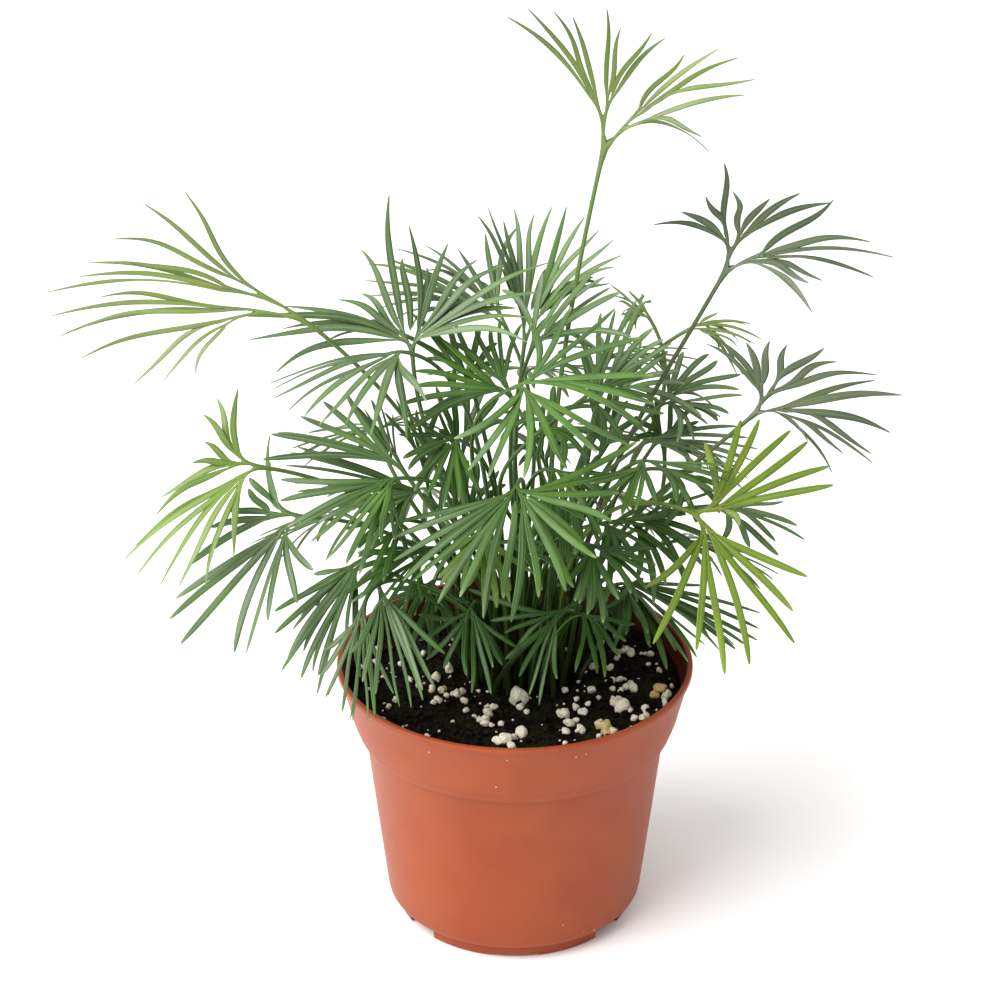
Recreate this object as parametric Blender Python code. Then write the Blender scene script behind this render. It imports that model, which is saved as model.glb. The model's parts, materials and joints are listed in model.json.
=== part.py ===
"""A potted eyelash fern: forked fan fronds that stand in a tapered plastic nursery pot.

Units are metres, +Z is up, the camera side is -Y. The origin is on the pot's axis at foot level.
"""

import math
import random

import bmesh
import bpy
import numpy as np
from mathutils import Matrix, Vector

MM = 0.001
UP = np.array([0.0, 0.0, 1.0])

# Where the photograph was taken from, in mm and degrees, and its focal length and middle in pixels
CAMERA = np.array([-4.5, -769.4, 514.8])
CAMERA_DOWN = math.radians(26.12)
FOCAL_PIXELS = 2900.0
PICTURE_MIDDLE = 500.0

# Pot, in mm
POT_SIDES = 40
LIP_RADIUS = 54.0
POT_HEIGHT = 84.0
LIP_WIDTH = 1.6
SHOULDER_RADIUS = 46.0
SHOULDER_Z = 61.5
FOOT_RADIUS = 35.7
FOOT_INNER = 33.5
FLOOR_UNDER = 4.2
FLOOR_TOP = 5.8
PAD_RADIUS = 7.0
POT_OUTSIDE = [
    (FOOT_RADIUS, 0.0), (36.5, 1.0), (38.6, 3.2), (39.5, 6.0), (45.8, SHOULDER_Z - 0.5),
    (SHOULDER_RADIUS + 0.6, SHOULDER_Z), (48.3, 63.2), (48.9, 65.0), (50.0, 68.0), (51.3, 74.0),
    (53.3, 81.6), (LIP_RADIUS, 82.4), (LIP_RADIUS, 83.6), (LIP_RADIUS - 0.5, POT_HEIGHT),
]
POT_INSIDE = [
    (LIP_RADIUS - LIP_WIDTH, POT_HEIGHT), (52.1, 83.0), (52.1, 81.6), (50.1, 74.0), (48.8, 68.0),
    (47.5, 64.6), (44.9, 60.6), (38.4, 7.8), (36.9, FLOOR_TOP),
]
RIM_GUARD = 53.0
RIM_GUARD_RODS = 32
SLOT_ANGLES = (-127.7, -52.3, 52.3, 127.7)
SLOT_WIDTH = 11.8
SLOT_HEIGHT = 3.7
NOTCH_WIDTH = 15.0
NOTCH_HEIGHT = 0.9
DRAIN_RADIUS = 4.0
DRAIN_FROM_AXIS = 24.0

# Potting mix, in mm
MIX_SIDES = 32
MIX_TOP = 76.0
MIX_RINGS = (50.0, 46.0, 40.0, 35.0, 30.0)
MIX_RELIEF = 0.9
GRAIN_RAISED = 0.05
GRAIN_SEEN = 1.0
MIX_BOTTOM = 6.2
MIX_OUTSIDE = [(36.0, MIX_BOTTOM), (37.6, 8.0), (44.1, 60.8), (46.7, 64.8), (48.1, 68.6)]

# Perlite grains that the photograph shows: pixels across and down it, and size in mm
GRAINS = [
    (519, 700, 6.1), (487, 712, 3), (484, 723, 2.7), (523, 730, 3.9), (505, 741, 4.2),
    (562, 714, 3), (623, 706, 4.5), (607, 728, 4.8), (660, 688, 3.6), (665, 702, 2.2),
    (409, 676, 2.2), (396, 697, 2.1), (401, 664, 2), (426, 739, 2), (632, 654, 2.7),
    (570, 722, 3.3), (566, 730, 2.7), (576, 706, 2.7), (591, 690, 2.7), (619, 679, 2.2),
    (620, 690, 2.2), (634, 688, 2.7), (436, 676, 3.3), (449, 661, 2.4), (440, 698, 2.4),
    (418, 684, 2.3), (583, 712, 2.6), (449, 671, 3), (455, 694, 3), (369, 658, 2),
    (390, 703, 2.1), (623, 651, 2.7), (650, 655, 2.2),
]
# Perlite grains where the photograph shows none of the mix: x, y and size in mm
HIDDEN_GRAINS = [
    (26, 38, 2.2), (22, -38, 2.2), (-34, 28, 2.8), (-14, 40, 3.4), (6, 43, 2.6), (-40, -26, 2.4),
    (38, -25, 2.3), (10, -42, 2.5), (34, 31, 2.1),
]

# Crown, in mm: the stipes stand on a spiral of places round its centre
CROWN = np.array([2.0, 10.0])
PLACE_PITCH = 2.6
GOLDEN_ANGLE = 137.5
LEAN_TO_HUB = 0.25
LEAN_LIMIT = 17.0
HOLE_RADIUS = 1.55
HOLE_BOTTOM = 67.7
STIPE_BOTTOM = 68.0
STIPE_FREE = 78.0

# Sections of the fronds, in mm
STIPE_WIDTH = 1.8
BRANCH_WIDTH = 1.5
BRANCH_LEAST = 0.7
SHARE_OF_SPACE = 0.85
DEPTH = 0.8
BLADE_WIDEST = 2.2
BLADE_NARROWEST = 1.1
WIDTH_TO_SPACING = 0.42
RAGGED = 0.05
LONG_BLADE = 24.0
SPAN_LENGTH = 25.0
# Widest blade of the fronds whose blades are narrower than BLADE_WIDEST
SLIM_BLADES = {
    "tall_top": 1.2, "far_left": 1.2, "left_lime": 1.6, "back_top": 1.5, "back_left_top": 1.4,
    "upper_left_fan": 1.7, "upper_left_droop": 1.9, "upper_right_dark": 1.7, "right_dark": 1.9,
    "pale_back_right": 1.1, "pale_back_right_2": 1.1,
}

# How far a stipe or a blade may be bent or cut to stand clear of the others, in mm
GAP = 0.45
OWN_GAP = 0.1
STIPE_SHIFTS = (0, 2, 4, 7, 10, 14, 18, 22)
STIPE_TURNS = 12
STIPE_BENDS = ((1.0, 0.5), (0.2, 1.0), (1.0, -0.4))
BLADE_SHIFTS = (0, -2.5, 2.5, -5, 5, -8, 8, -12, 12)
BLADE_CUTS = (1.0, 0.82, 0.64, 0.46)
CUT_COST = 25
REACH = 25

# Fronds that the photograph shows: name, hub (where the fan forks first), marks along the fan's edge
# from its first blade to its last, number of blades, length of the first branches in mm, how upright
# the stipe arrives. The hub and the marks were read off the photograph by eye: pixels across, pixels
# down, and how many mm behind the pot's axis they are judged to be.
FRONDS = [
    ("tall_top", (604.5, 146, 12),
     [(504, 17, 6), (527, 9, 7), (554, 10, 8), (565, 17, 9), (607, 8, 11), (613, 22, 12),
      (651, 31, 14), (667, 40, 14), (684, 55, 13), (703, 49, 12), (732, 55, 10), (752, 71, 7),
      (747, 95, 4), (703, 139, 0), (716, 148, -2)], 15, 8, .5),
    ("far_left", (300, 316, -5),
     [(185, 192, -2), (140, 203, -3), (110, 241, -6), (116, 267, -7), (81, 268, -8), (69, 281, -8),
      (46, 294, -9), (100, 301, -9), (47, 318, -10), (54, 336, -11), (78, 329, -12), (76, 359, -15),
      (132, 386, -18), (162, 385, -20), (195, 377, -22)], 15, 12, .45),
    ("left_lime", (256.5, 467, -22),
     [(237, 389, -14), (217, 396, -16), (202, 415, -19), (201, 449, -24), (190, 462, -26),
      (160, 496, -31), (154, 517, -36), (136, 550, -40), (122, 561, -42), (137, 577, -46),
      (158, 588, -50), (177, 591, -52), (199, 579, -51), (215, 569, -50), (235, 559, -48)], 15, 4, .4),
    ("left_dark", (298, 517, -24),
     [(266, 442, -8), (259, 464, -11), (248, 479, -15), (243, 494, -22), (224, 516, -26),
      (199, 542, -32), (188, 566, -34), (172, 598, -38), (169, 620, -42), (178, 646, -44),
      (233, 653, -49), (250, 648, -50), (267, 620, -50), (305, 598, -47), (315, 569, -44)], 15, 4.5, .4),
    ("upper_left_droop", (399, 351, -6),
     [(265, 390, -14), (281, 395, -18), (276, 413, -24), (300, 419, -30), (329, 430, -38),
      (351, 430, -41), (397, 440, -42), (425, 400, -30)], 10, 4, .4),
    ("upper_left_fan", (413, 345, 2),
     [(278, 371, -8), (233, 327, -2), (262, 309, 2), (344, 301, 6), (363, 287, 8), (387, 193, 10),
      (412, 234, 12), (466, 259, 14), (500, 262, 11), (554, 270, 6), (540, 305, -2),
      (523, 344, -10)], 16, 4, .5),
    ("back_top", (524, 338, 34),
     [(475, 208, 40), (504, 215, 50), (532, 206, 48), (577, 213, 48), (615, 234, 40),
      (615, 270, 30)], 12, 8, .5),
    ("back_left_top", (506, 325, 52),
     [(379, 294, 40), (362, 284, 48), (372, 257, 56), (400, 247, 64), (464, 250, 72),
      (520, 224, 76)], 10, 8, .5),
    ("centre_back", (533, 345, 16),
     [(500, 290, 30), (577, 280, 22), (597, 276, 18), (620, 283, 12), (640, 330, 0)], 8, 4.5, .5),
    ("main_centre", (520, 385, -30),
     [(454, 448, -48), (491, 482, -58), (579, 460, -62), (643, 437, -52), (657, 389, -38),
      (622, 310, -14), (530, 325, -8)], 14, 4, .4),
    ("centre_shadow", (510, 393, -4),
     [(405, 430, -24), (412, 385, -10), (432, 355, 0), (478, 330, 10), (505, 322, 14)], 11, 4, .5),
    ("front_centre", (516, 486, -44),
     [(640, 440, -32), (616, 505, -52), (566, 587, -70), (495, 617, -76), (445, 598, -72),
      (392, 575, -62), (396, 515, -46)], 16, 4, .4),
    ("left_mid_up", (399, 468, -20),
     [(262, 461, -28), (291, 423, -18), (332, 397, -12), (370, 398, -10), (386, 411, -8)], 11, 4, .4),
    ("left_mid_droop", (395, 478, -40),
     [(275, 488, -42), (293, 534, -54), (319, 552, -62), (342, 566, -66), (385, 543, -62),
      (402, 535, -52)], 12, 4, .4),
    ("left_inner", (424, 466, 4),
     [(384, 411, 10), (398, 402, 14), (412, 405, 16), (440, 415, 18)], 6, 4, .5),
    ("upper_right_dark", (726, 271, 14),
     [(653, 226, 8), (680, 212, 8), (706, 197, 10), (716, 163, 12), (734, 190, 14), (770, 200, 16),
      (800, 194, 18), (814, 200, 18), (835, 199, 18), (874, 242, 15), (897, 257, 8), (877, 260, 6),
      (817, 259, 2), (826, 274, 0), (813, 276, -4), (814, 306, -8)], 16, 6, .5),
    ("right_dark", (758, 411, -4),
     [(704, 342, 4), (709, 336, 5), (731, 340, 6), (753, 339, 7), (786, 346, 8), (824, 347, 8),
      (838, 362, 7), (862, 369, 6), (877, 376, 4), (901, 386, 0), (890, 434, -6), (873, 454, -12),
      (874, 463, -16), (845, 453, -18), (838, 466, -20), (808, 442, -22)], 16, 4, .4),
    ("pale_back_right", (690, 327, 44),
     [(718, 312, 52), (748, 319, 50), (760, 333, 44), (751, 346, 38), (722, 346, 34)], 8, 4, .4),
    ("pale_back_right_2", (652, 320, 42),
     [(642, 296, 48), (625, 290, 50), (612, 290, 46), (617, 303, 40), (628, 330, 32)], 8, 3.5, .4),
    ("right_upper", (662, 402, 22),
     [(655, 352, 32), (703, 356, 34), (740, 374, 30), (735, 402, 20), (708, 423, 10),
      (688, 438, 2)], 12, 4, .4),
    ("right_middle", (648, 443, 12),
     [(700, 420, 20), (736, 426, 16), (759, 441, 10), (750, 456, 2), (705, 472, -8)], 9, 4, .4),
    ("right_front", (642, 459, -24),
     [(594, 488, -38), (620, 508, -46), (640, 514, -50), (663, 500, -48), (700, 498, -42),
      (735, 475, -34), (745, 466, -26)], 12, 6, .4),
    ("right_lime", (696, 512, -34),
     [(702, 441, -24), (724, 425, -23), (759, 417, -22), (790, 429, -23), (809, 441, -24),
      (831, 466, -28), (836, 485, -32), (739, 527, -40), (808, 577, -48), (795, 612, -52),
      (797, 643, -60), (750, 666, -65), (726, 675, -67), (695, 652, -64), (653, 646, -62),
      (647, 586, -56)], 16, 4, 0),
    ("right_under", (717, 508, -14),
     [(782, 502, -12), (789, 513, -16), (807, 528, -20), (785, 532, -24), (779, 551, -28),
      (750, 547, -30), (720, 540, -28)], 7, 4, .3),
    ("low_right", (622, 583, 0),
     [(600, 612, -16), (634, 634, -24), (655, 632, -26), (690, 651, -26), (705, 646, -25),
      (722, 653, -23), (757, 644, -18), (755, 624, -10), (745, 602, -2), (700, 585, 4)], 12, 4, .4),
    ("right_inner", (600, 522, -14),
     [(660, 505, -2), (677, 534, -12), (666, 541, -20), (640, 560, -30), (606, 575, -36)], 9, 4, .4),
    ("right_inner_low", (590, 545, -34),
     [(650, 548, -34), (657, 572, -44), (626, 592, -50), (594, 612, -54), (562, 592, -50)], 8, 4.5, .4),
    ("inner_young", (480, 530, -36),
     [(430, 570, -46), (455, 583, -52), (478, 590, -56), (509, 597, -54), (530, 570, -46)], 7, 4, .4),
    ("inner_right_front", (505, 540, -24),
     [(548, 545, -28), (585, 538, -26), (580, 565, -36), (540, 585, -42)], 6, 3, .4),
    ("low_front_left", (472, 608, -22),
     [(415, 615, -22), (430, 660, -34), (464, 672, -40), (485, 707, -46), (497, 668, -40),
      (517, 647, -34)], 10, 4, .4),
    ("low_front_right", (560, 610, -22),
     [(480, 607, -18), (508, 640, -28), (516, 672, -36), (537, 700, -42), (558, 678, -40)], 9, 4, .4),
    ("low_front_edge", (583, 613, -18),
     [(575, 665, -34), (588, 678, -38), (615, 670, -34), (626, 637, -26), (640, 615, -16)], 7, 3, .4),
    ("low_left", (381, 592, -30),
     [(446, 654, -44), (431, 685, -50), (410, 712, -52), (388, 706, -52), (350, 650, -44)], 9, 4, .3),
    ("low_left_edge", (362, 606, -30),
     [(395, 695, -46), (376, 716, -50), (357, 726, -52), (340, 715, -50), (321, 698, -46),
      (322, 660, -38)], 11, 6, .3),
    ("low_left_dark", (362, 558, -10),
     [(305, 580, -12), (275, 614, -20), (283, 655, -30), (290, 684, -36), (322, 673, -38),
      (345, 640, -34)], 10, 4.5, .3),
    ("centre_right_up", (598, 402, 6),
     [(572, 330, 16), (603, 310, 14), (621, 305, 12), (636, 301, 10), (660, 332, 4),
      (655, 352, 0)], 8, 6, .5),
    ("right_upper_2", (618, 392, 26),
     [(617, 345, 32), (634, 346, 34), (656, 330, 32), (672, 352, 30), (675, 372, 24),
      (690, 395, 16)], 8, 4, .5),
    ("centre_low", (556, 470, -22),
     [(600, 455, -20), (612, 490, -34), (600, 545, -46), (565, 560, -50), (540, 545, -48),
      (520, 520, -40)], 9, 6, .4),
    ("left_centre", (455, 440, -14),
     [(405, 420, -14), (402, 452, -26), (420, 492, -38), (450, 505, -42), (480, 492, -38)], 9, 4, .4),
    ("left_mid", (418, 492, -14),
     [(300, 452, -20), (285, 470, -24), (290, 484, -28), (330, 505, -34), (380, 525, -38),
      (400, 530, -36)], 9, 4, .4),
    ("low_left_up", (428, 548, -20),
     [(352, 560, -26), (345, 590, -34), (375, 610, -38), (400, 605, -38), (420, 600, -34)], 9, 6, .4),
    ("right_mid_low", (628, 520, -10),
     [(716, 490, -4), (720, 505, -8), (705, 560, -18), (670, 580, -24), (640, 575, -24)], 9, 4.5, .4),
    ("centre_right", (585, 400, -6),
     [(552, 362, 4), (600, 350, 8), (650, 385, 4), (670, 410, 0), (640, 440, -8),
      (600, 455, -14)], 9, 4, .4),
    ("centre_left_high", (470, 380, 0),
     [(400, 345, 0), (410, 325, 6), (440, 310, 10), (475, 320, 10), (500, 345, 6)], 9, 3, .5),
    ("centre_mid", (545, 430, -20),
     [(570, 470, -30), (600, 450, -24), (610, 430, -16), (560, 385, -4), (520, 400, -10),
      (500, 440, -24)], 9, 4, .4),
    ("right_mid", (672, 470, -4),
     [(700, 455, 4), (720, 480, 0), (715, 510, -10), (680, 520, -14), (655, 515, -14)], 8, 6, .4),
    ("left_low_fill", (400, 520, -18),
     [(370, 495, -14), (350, 520, -24), (365, 560, -32), (395, 575, -34), (415, 560, -28)], 8, 4, .4),
    ("left_behind", (462, 455, 18),
     [(425, 470, 8), (420, 430, 14), (432, 390, 22), (452, 368, 28), (474, 362, 30), (492, 380, 26),
      (502, 415, 18)], 9, 4, .5),
    ("low_left_behind", (432, 582, 2),
     [(388, 588, 0), (384, 610, -8), (404, 628, -14), (430, 634, -17), (456, 626, -14),
      (474, 604, -8)], 8, 4.5, .4),
]
# Fronds on the side that the photograph doesn't show, as above but with x, y and z in mm
HIDDEN_FRONDS = [
    ("back_left", (-42, 48, 138),
     [(-68, 40, 132), (-66, 68, 128), (-46, 84, 124), (-22, 80, 130), (-14, 60, 142)], 9, 4, .4),
    ("back_middle", (4, 72, 148),
     [(-30, 86, 140), (-10, 104, 132), (14, 108, 130), (38, 92, 138), (36, 66, 150)], 9, 4, .4),
    ("back_right", (44, 52, 132),
     [(70, 36, 124), (74, 60, 120), (56, 82, 116), (30, 84, 120), (20, 66, 132)], 9, 4, .4),
    ("back_low_left", (-28, 60, 112),
     [(-58, 64, 100), (-50, 86, 94), (-28, 96, 90), (-6, 90, 96)], 8, 4, .4),
    ("back_low_right", (26, 66, 110),
     [(50, 60, 98), (52, 84, 92), (30, 98, 90), (8, 96, 94)], 8, 4, .4),
    ("back_high_right", (28, 52, 160),
     [(54, 40, 162), (56, 66, 158), (38, 84, 152), (14, 84, 156), (8, 64, 168)], 9, 4, .4),
    ("side_left_back", (-52, 26, 120),
     [(-82, 10, 112), (-80, 34, 108), (-66, 54, 104), (-44, 58, 106)], 9, 4, .4),
    ("side_right_back", (50, 24, 112),
     [(80, 12, 104), (78, 36, 100), (62, 54, 96), (42, 56, 100)], 9, 4, .4),
]


def sight(across, down):
    """The direction in which the photograph shows a pixel."""
    aside = (across - PICTURE_MIDDLE) / FOCAL_PIXELS
    rise = (PICTURE_MIDDLE - down) / FOCAL_PIXELS
    ahead = math.cos(CAMERA_DOWN) + rise * math.sin(CAMERA_DOWN)
    return np.array([aside, ahead, rise * math.cos(CAMERA_DOWN) - math.sin(CAMERA_DOWN)])


def seen_at(across, down, behind):
    """The place seen at a pixel, so far behind the pot's axis, to the nearest mm."""
    way = sight(across, down)
    return np.round(CAMERA + way * (behind - CAMERA[1]) / way[1])


def seen_on_mix(across, down):
    """The x and y of the grain seen at a pixel, to the nearest mm."""
    way = sight(across, down)
    return np.round(CAMERA + way * (MIX_TOP + GRAIN_SEEN - CAMERA[2]) / way[2])[:2]


def unit(v):
    return v / max(np.linalg.norm(v), 1e-9)


def turned(a, b, fraction):
    """The direction part of the way round from a to b."""
    angle = math.acos(min(1.0, max(-1.0, float(a @ b))))
    if angle < 1e-6:
        return a
    return unit(a * math.sin((1 - fraction) * angle) + b * math.sin(fraction * angle))


def curve(knots, t):
    """The point of a Bezier curve at the fraction t."""
    points = [np.asarray(k, float) for k in knots]
    while len(points) > 1:
        points = [a * (1 - t) + b * t for a, b in zip(points, points[1:])]
    return points[0]


def heading_at(knots, t):
    return unit(curve(knots, min(1.0, t + 0.01)) - curve(knots, max(0.0, t - 0.01)))


def crown_places(count):
    """Places for the stipes, evenly packed on a spiral."""
    places = []
    for i in range(count):
        r = PLACE_PITCH * math.sqrt(i + 0.5)
        a = math.radians(GOLDEN_ANGLE * i)
        places.append(CROWN + r * np.array([math.cos(a), math.sin(a)]))
    return places


def take_place(hub, places):
    """The free place nearest to where a stipe that leans towards its hub would stand."""
    away = np.array(hub[:2], float) - CROWN
    reach = np.linalg.norm(away)
    wanted = CROWN + away / max(reach, 1e-9) * min(LEAN_LIMIT, LEAN_TO_HUB * reach)
    nearest = min(range(len(places)), key=lambda i: np.linalg.norm(places[i] - wanted))
    return places.pop(nearest)


def blade_tips(hub, marks, count, rng):
    """Tips spread along the fan's edge, with a slightly ragged reach."""
    ragged = RAGGED if count > len(marks) else 0
    reach = [np.asarray(m, float) - hub for m in marks]
    tips = []
    for a in np.linspace(0, len(marks) - 1, count):
        i = min(int(a), len(marks) - 2)
        f = a - i
        length = np.linalg.norm(reach[i]) * (1 - f) + np.linalg.norm(reach[i + 1]) * f
        way = turned(unit(reach[i]), unit(reach[i + 1]), f)
        tips.append(hub + way * length * (1 + rng.uniform(-ragged, ragged)))
    return tips


def plan_frond(row, places, index):
    """The stipe, the branches and the blades of one frond, as points in mm."""
    name, hub, marks, count, first_fork, lift = row
    rng = random.Random(name)
    hub = np.asarray(hub, float)
    tips = blade_tips(hub, marks, count, rng)
    facing = sum(np.cross(b - a, a - hub) for a, b in zip(tips, tips[1:]))
    if facing[2] < 0:
        tips.reverse()
    middle = unit(sum(t - hub for t in tips))
    arrive = unit(middle * (1 - lift) + UP * lift)
    place = take_place(hub, places)
    base = np.array([place[0], place[1], STIPE_FREE])
    rise = np.linalg.norm(hub - base)
    half = (count + 1) // 2
    widest = SLIM_BLADES.get(name, BLADE_WIDEST)
    frond = {
        "name": name, "index": index, "arrive": arrive, "base": base, "blades": [], "branches": [],
        "stipe": [base, base + UP * rise * 0.42, hub - arrive * rise * 0.38, hub],
        "spans": min(6, max(3, round(rise / SPAN_LENGTH))),
        "side": unit(sum(tips[half:]) / (count - half) - sum(tips[:half]) / half),
    }

    def side_of(i):
        return unit(tips[min(i + 1, count - 1)] - tips[max(i - 1, 0)])

    def split(end, heading, side, first, last, step):
        """Two children at a fork: each is a blade, or a branch that forks again."""
        children = []
        mid = (first + last + 1) // 2
        for sign, lo, hi in ((-1, first, mid), (1, mid, last)):
            start = end + side * sign * BRANCH_WIDTH / 4
            aim = unit(sum(tips[lo:hi]) / (hi - lo) - start)
            if hi - lo == 1:
                length = np.linalg.norm(tips[lo] - start)
                spacing = np.linalg.norm(tips[min(lo + 1, count - 1)] - tips[max(lo - 1, 0)]) / 2
                spacing *= 2 if lo in (0, count - 1) else 1
                child = {
                    "kind": "blade", "start": start, "tip": tips[lo], "side": side_of(lo),
                    "width": min(widest, max(BLADE_NARROWEST, WIDTH_TO_SPACING * spacing)),
                    "ctrl": start + unit(heading * 0.6 + aim * 0.4 + UP * 0.1) * length * 0.45,
                }
                frond["blades"].append(child)
            else:
                to = unit(aim * 0.58 + heading * 0.42)
                child = {"kind": "branch", "start": start, "end": start + to * step, "heading": to}
                child["side"] = unit(sum(side_of(i) for i in range(lo, hi)))
                frond["branches"].append(child)
                child["children"] = split(child["end"], to, child["side"], lo, hi, step * 0.6)
            children.append(child)
        return children

    frond["children"] = split(hub, arrive, frond["side"], 0, count, first_fork)
    return frond


def chain_of(blade):
    knots = [blade["start"], blade["ctrl"], blade["tip"]]
    return np.array([curve(knots, t) for t in (0.0, 0.3, 0.68, 1.0)])


def blade_radii(blade):
    return np.array([0.45, 0.5, 0.3]) * blade["width"]


def outer_radii(blade):
    """Radii of a blade past its root, where it narrows to pass between its own neighbours."""
    return np.array([0.5 * BRANCH_LEAST, 0.3 * blade["width"]])


def segment_gaps(p, q, r, s):
    """The least distance between each segment p-q and each segment r-s."""
    d1 = (q - p)[:, None, :]
    d2 = (s - r)[None, :, :]
    w = p[:, None, :] - r[None, :, :]
    a = (d1 * d1).sum(-1)
    e = (d2 * d2).sum(-1)
    f = (d2 * w).sum(-1)
    c = (d1 * w).sum(-1)
    b = (d1 * d2).sum(-1)
    u = np.clip((b * f - c * e) / np.maximum(a * e - b * b, 1e-9), 0, 1)
    v = np.clip((b * u + f) / np.maximum(e, 1e-9), 0, 1)
    u = np.clip((b * v - c) / np.maximum(a, 1e-9), 0, 1)
    return np.linalg.norm(w + u[..., None] * d1 - v[..., None] * d2, axis=-1)


class Room:
    """Round-ended rods that stand for everything placed so far."""

    def __init__(self):
        self.starts = []
        self.ends = []
        self.radii = []
        self.owners = []
        self.table = None

    def add(self, points, radii, owner):
        for start, end, radius in zip(points, points[1:], radii):
            self.starts.append(start)
            self.ends.append(end)
            self.radii.append(radius)
            self.owners.append(owner)
        self.table = None

    def near(self, low, high, owner, own):
        """The rods inside a box, of the owner itself or of all others."""
        if self.table is None:
            self.table = [np.array(x) for x in (self.starts, self.ends, self.radii, self.owners)]
        starts, ends, radii, owners = self.table
        inside = (np.minimum(starts, ends) < high).all(1) & (np.maximum(starts, ends) > low).all(1)
        inside &= (owners == owner) if own else (owners != owner)
        return starts[inside], ends[inside], radii[inside]


def gap_of(points, radii, rods):
    if len(rods[0]) == 0:
        return 99.0
    distance = segment_gaps(points[:-1], points[1:], rods[0], rods[1])
    return float((distance - np.asarray(radii)[:, None] - rods[2][None, :]).min())


def settle_stipe(frond, room):
    """Bend a stipe sideways until it clears the others."""
    best = None
    stipe = frond["stipe"]
    count = frond["spans"]
    low = np.minimum(stipe[0], stipe[3]) - REACH
    high = np.maximum(stipe[0], stipe[3]) + REACH
    rods = room.near(low, high, frond["index"], False)
    tries = [(reach, turn * 2 * math.pi / STIPE_TURNS, low_part, high_part)
             for reach in STIPE_SHIFTS for turn in range(STIPE_TURNS if reach else 1)
             for low_part, high_part in STIPE_BENDS]
    for reach, angle, low_part, high_part in tries:
        shift = reach * np.array([math.cos(angle), math.sin(angle), 0.0])
        knots = [stipe[0], stipe[1] + shift * low_part, stipe[2] + shift * high_part, stipe[3]]
        points = np.array([curve(knots, i / count) for i in range(count + 1)])
        gap = gap_of(points, [0.5 * STIPE_WIDTH] * count, rods)
        if best is None or gap > best[0]:
            best = (gap, knots, points)
        if gap >= GAP:
            break
    frond["stipe"] = best[1]
    room.add(best[2], [0.5 * STIPE_WIDTH] * (len(best[2]) - 1), frond["index"])
    return best[0]


def settle_blade(blade, frond, room):
    """Bend or shorten a blade until it clears the other fronds and its own neighbours."""
    start, ctrl, tip, side = (blade[k] for k in ("start", "ctrl", "tip", "side"))
    normal = unit(np.cross(side, tip - start))
    low = np.minimum(start, tip) - REACH
    high = np.maximum(start, tip) + REACH
    others = room.near(low, high, frond["index"], False)
    own = room.near(low, high, -2 - frond["index"], True)
    tries = [(abs(a) + abs(b) + (1 - cut) * CUT_COST, a, b, cut)
             for a in BLADE_SHIFTS for b in BLADE_SHIFTS for cut in BLADE_CUTS]
    best = None
    for cost, across, along, cut in sorted(tries):
        shift = normal * across + side * along
        trial = dict(blade)
        trial["tip"] = start + (tip + shift - start) * cut
        trial["ctrl"] = start + (ctrl + shift * 0.4 - start) * cut
        points = chain_of(trial)
        radii = blade_radii(trial)
        own_gap = gap_of(points[1:], outer_radii(trial), own)
        gap = min(gap_of(points, radii, others), own_gap + GAP - OWN_GAP)
        if best is None or gap > best[0]:
            best = (gap, trial, points, radii)
        if gap >= GAP:
            break
    blade.update(best[1])
    blade["clear"] = best[0] > OWN_GAP
    if blade["clear"]:
        room.add(best[2], best[3], frond["index"])
        room.add(best[2][1:], outer_radii(blade), -2 - frond["index"])
    return best[0]


def settle(fronds):
    """Place branches, then stipes, then blades, each clear of what is there already."""
    room = Room()
    rim = [np.array([RIM_GUARD * math.cos(a), RIM_GUARD * math.sin(a), POT_HEIGHT - LIP_WIDTH])
           for a in np.linspace(0, 2 * math.pi, RIM_GUARD_RODS + 1)]
    room.add(rim, [LIP_WIDTH] * RIM_GUARD_RODS, -1)
    for frond in fronds:
        for branch in frond["branches"]:
            points = np.array([branch["start"], branch["end"]])
            room.add(points, [0.5 * BRANCH_WIDTH], frond["index"])
    for frond in fronds:
        frond["stipe_gap"] = settle_stipe(frond, room)
    for frond in fronds:
        for blade in frond["blades"]:
            blade["gap"] = settle_blade(blade, frond, room)


def planned_fronds():
    rows = [(name, seen_at(*hub), [seen_at(*mark) for mark in marks], *rest)
            for name, hub, marks, *rest in FRONDS]
    rows += HIDDEN_FRONDS
    places = crown_places(len(rows))
    fronds = [plan_frond(row, places, i) for i, row in enumerate(rows)]
    settle(fronds)
    return fronds


def section(centre, forward, side, width):
    """Left, right and keel corners of a three-sided section, in metres."""
    side = unit(side - forward * float(side @ forward))
    up = np.cross(side, forward)
    left = centre - side * width / 2 + up * DEPTH / 3
    right = centre + side * width / 2 + up * DEPTH / 3
    keel = centre - up * DEPTH * 2 / 3
    return [Vector(corner * MM) for corner in (left, right, keel)]


def grow_to(bm, face, corners, target):
    """Extrude one end face to the next section."""
    new = bmesh.ops.extrude_discrete_faces(bm, faces=[face])["faces"][0]
    moved = [min(new.verts, key=lambda v: (v.co - old.co).length_squared) for old in corners]
    for vert, place in zip(moved, target):
        vert.co = place
    return new, moved


def fork(bm, face, corners):
    """Split an end face from the middle of its top edge to its keel, into a left and a right one."""
    left, right, keel = corners
    edge = bm.edges.get((left, right))
    middle = bmesh.utils.edge_split(edge, left, 0.5)[1]
    other = bmesh.utils.face_split(face, middle, keel)[0]
    halves = [face, other] if left in face.verts else [other, face]
    return [(halves[0], [left, middle, keel]), (halves[1], [middle, right, keel])]


def line_of(part):
    """The middle line of a blade or a branch."""
    return chain_of(part) if part["kind"] == "blade" else np.array([part["start"], part["end"]])


def width_between(here, lines):
    """The width that fits at a point between other lines."""
    point = np.array([here])
    starts = np.concatenate([line[:-1] for line in lines])
    ends = np.concatenate([line[1:] for line in lines])
    space = float(segment_gaps(point, point, starts, ends).min())
    return max(BRANCH_LEAST, space * SHARE_OF_SPACE)


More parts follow.
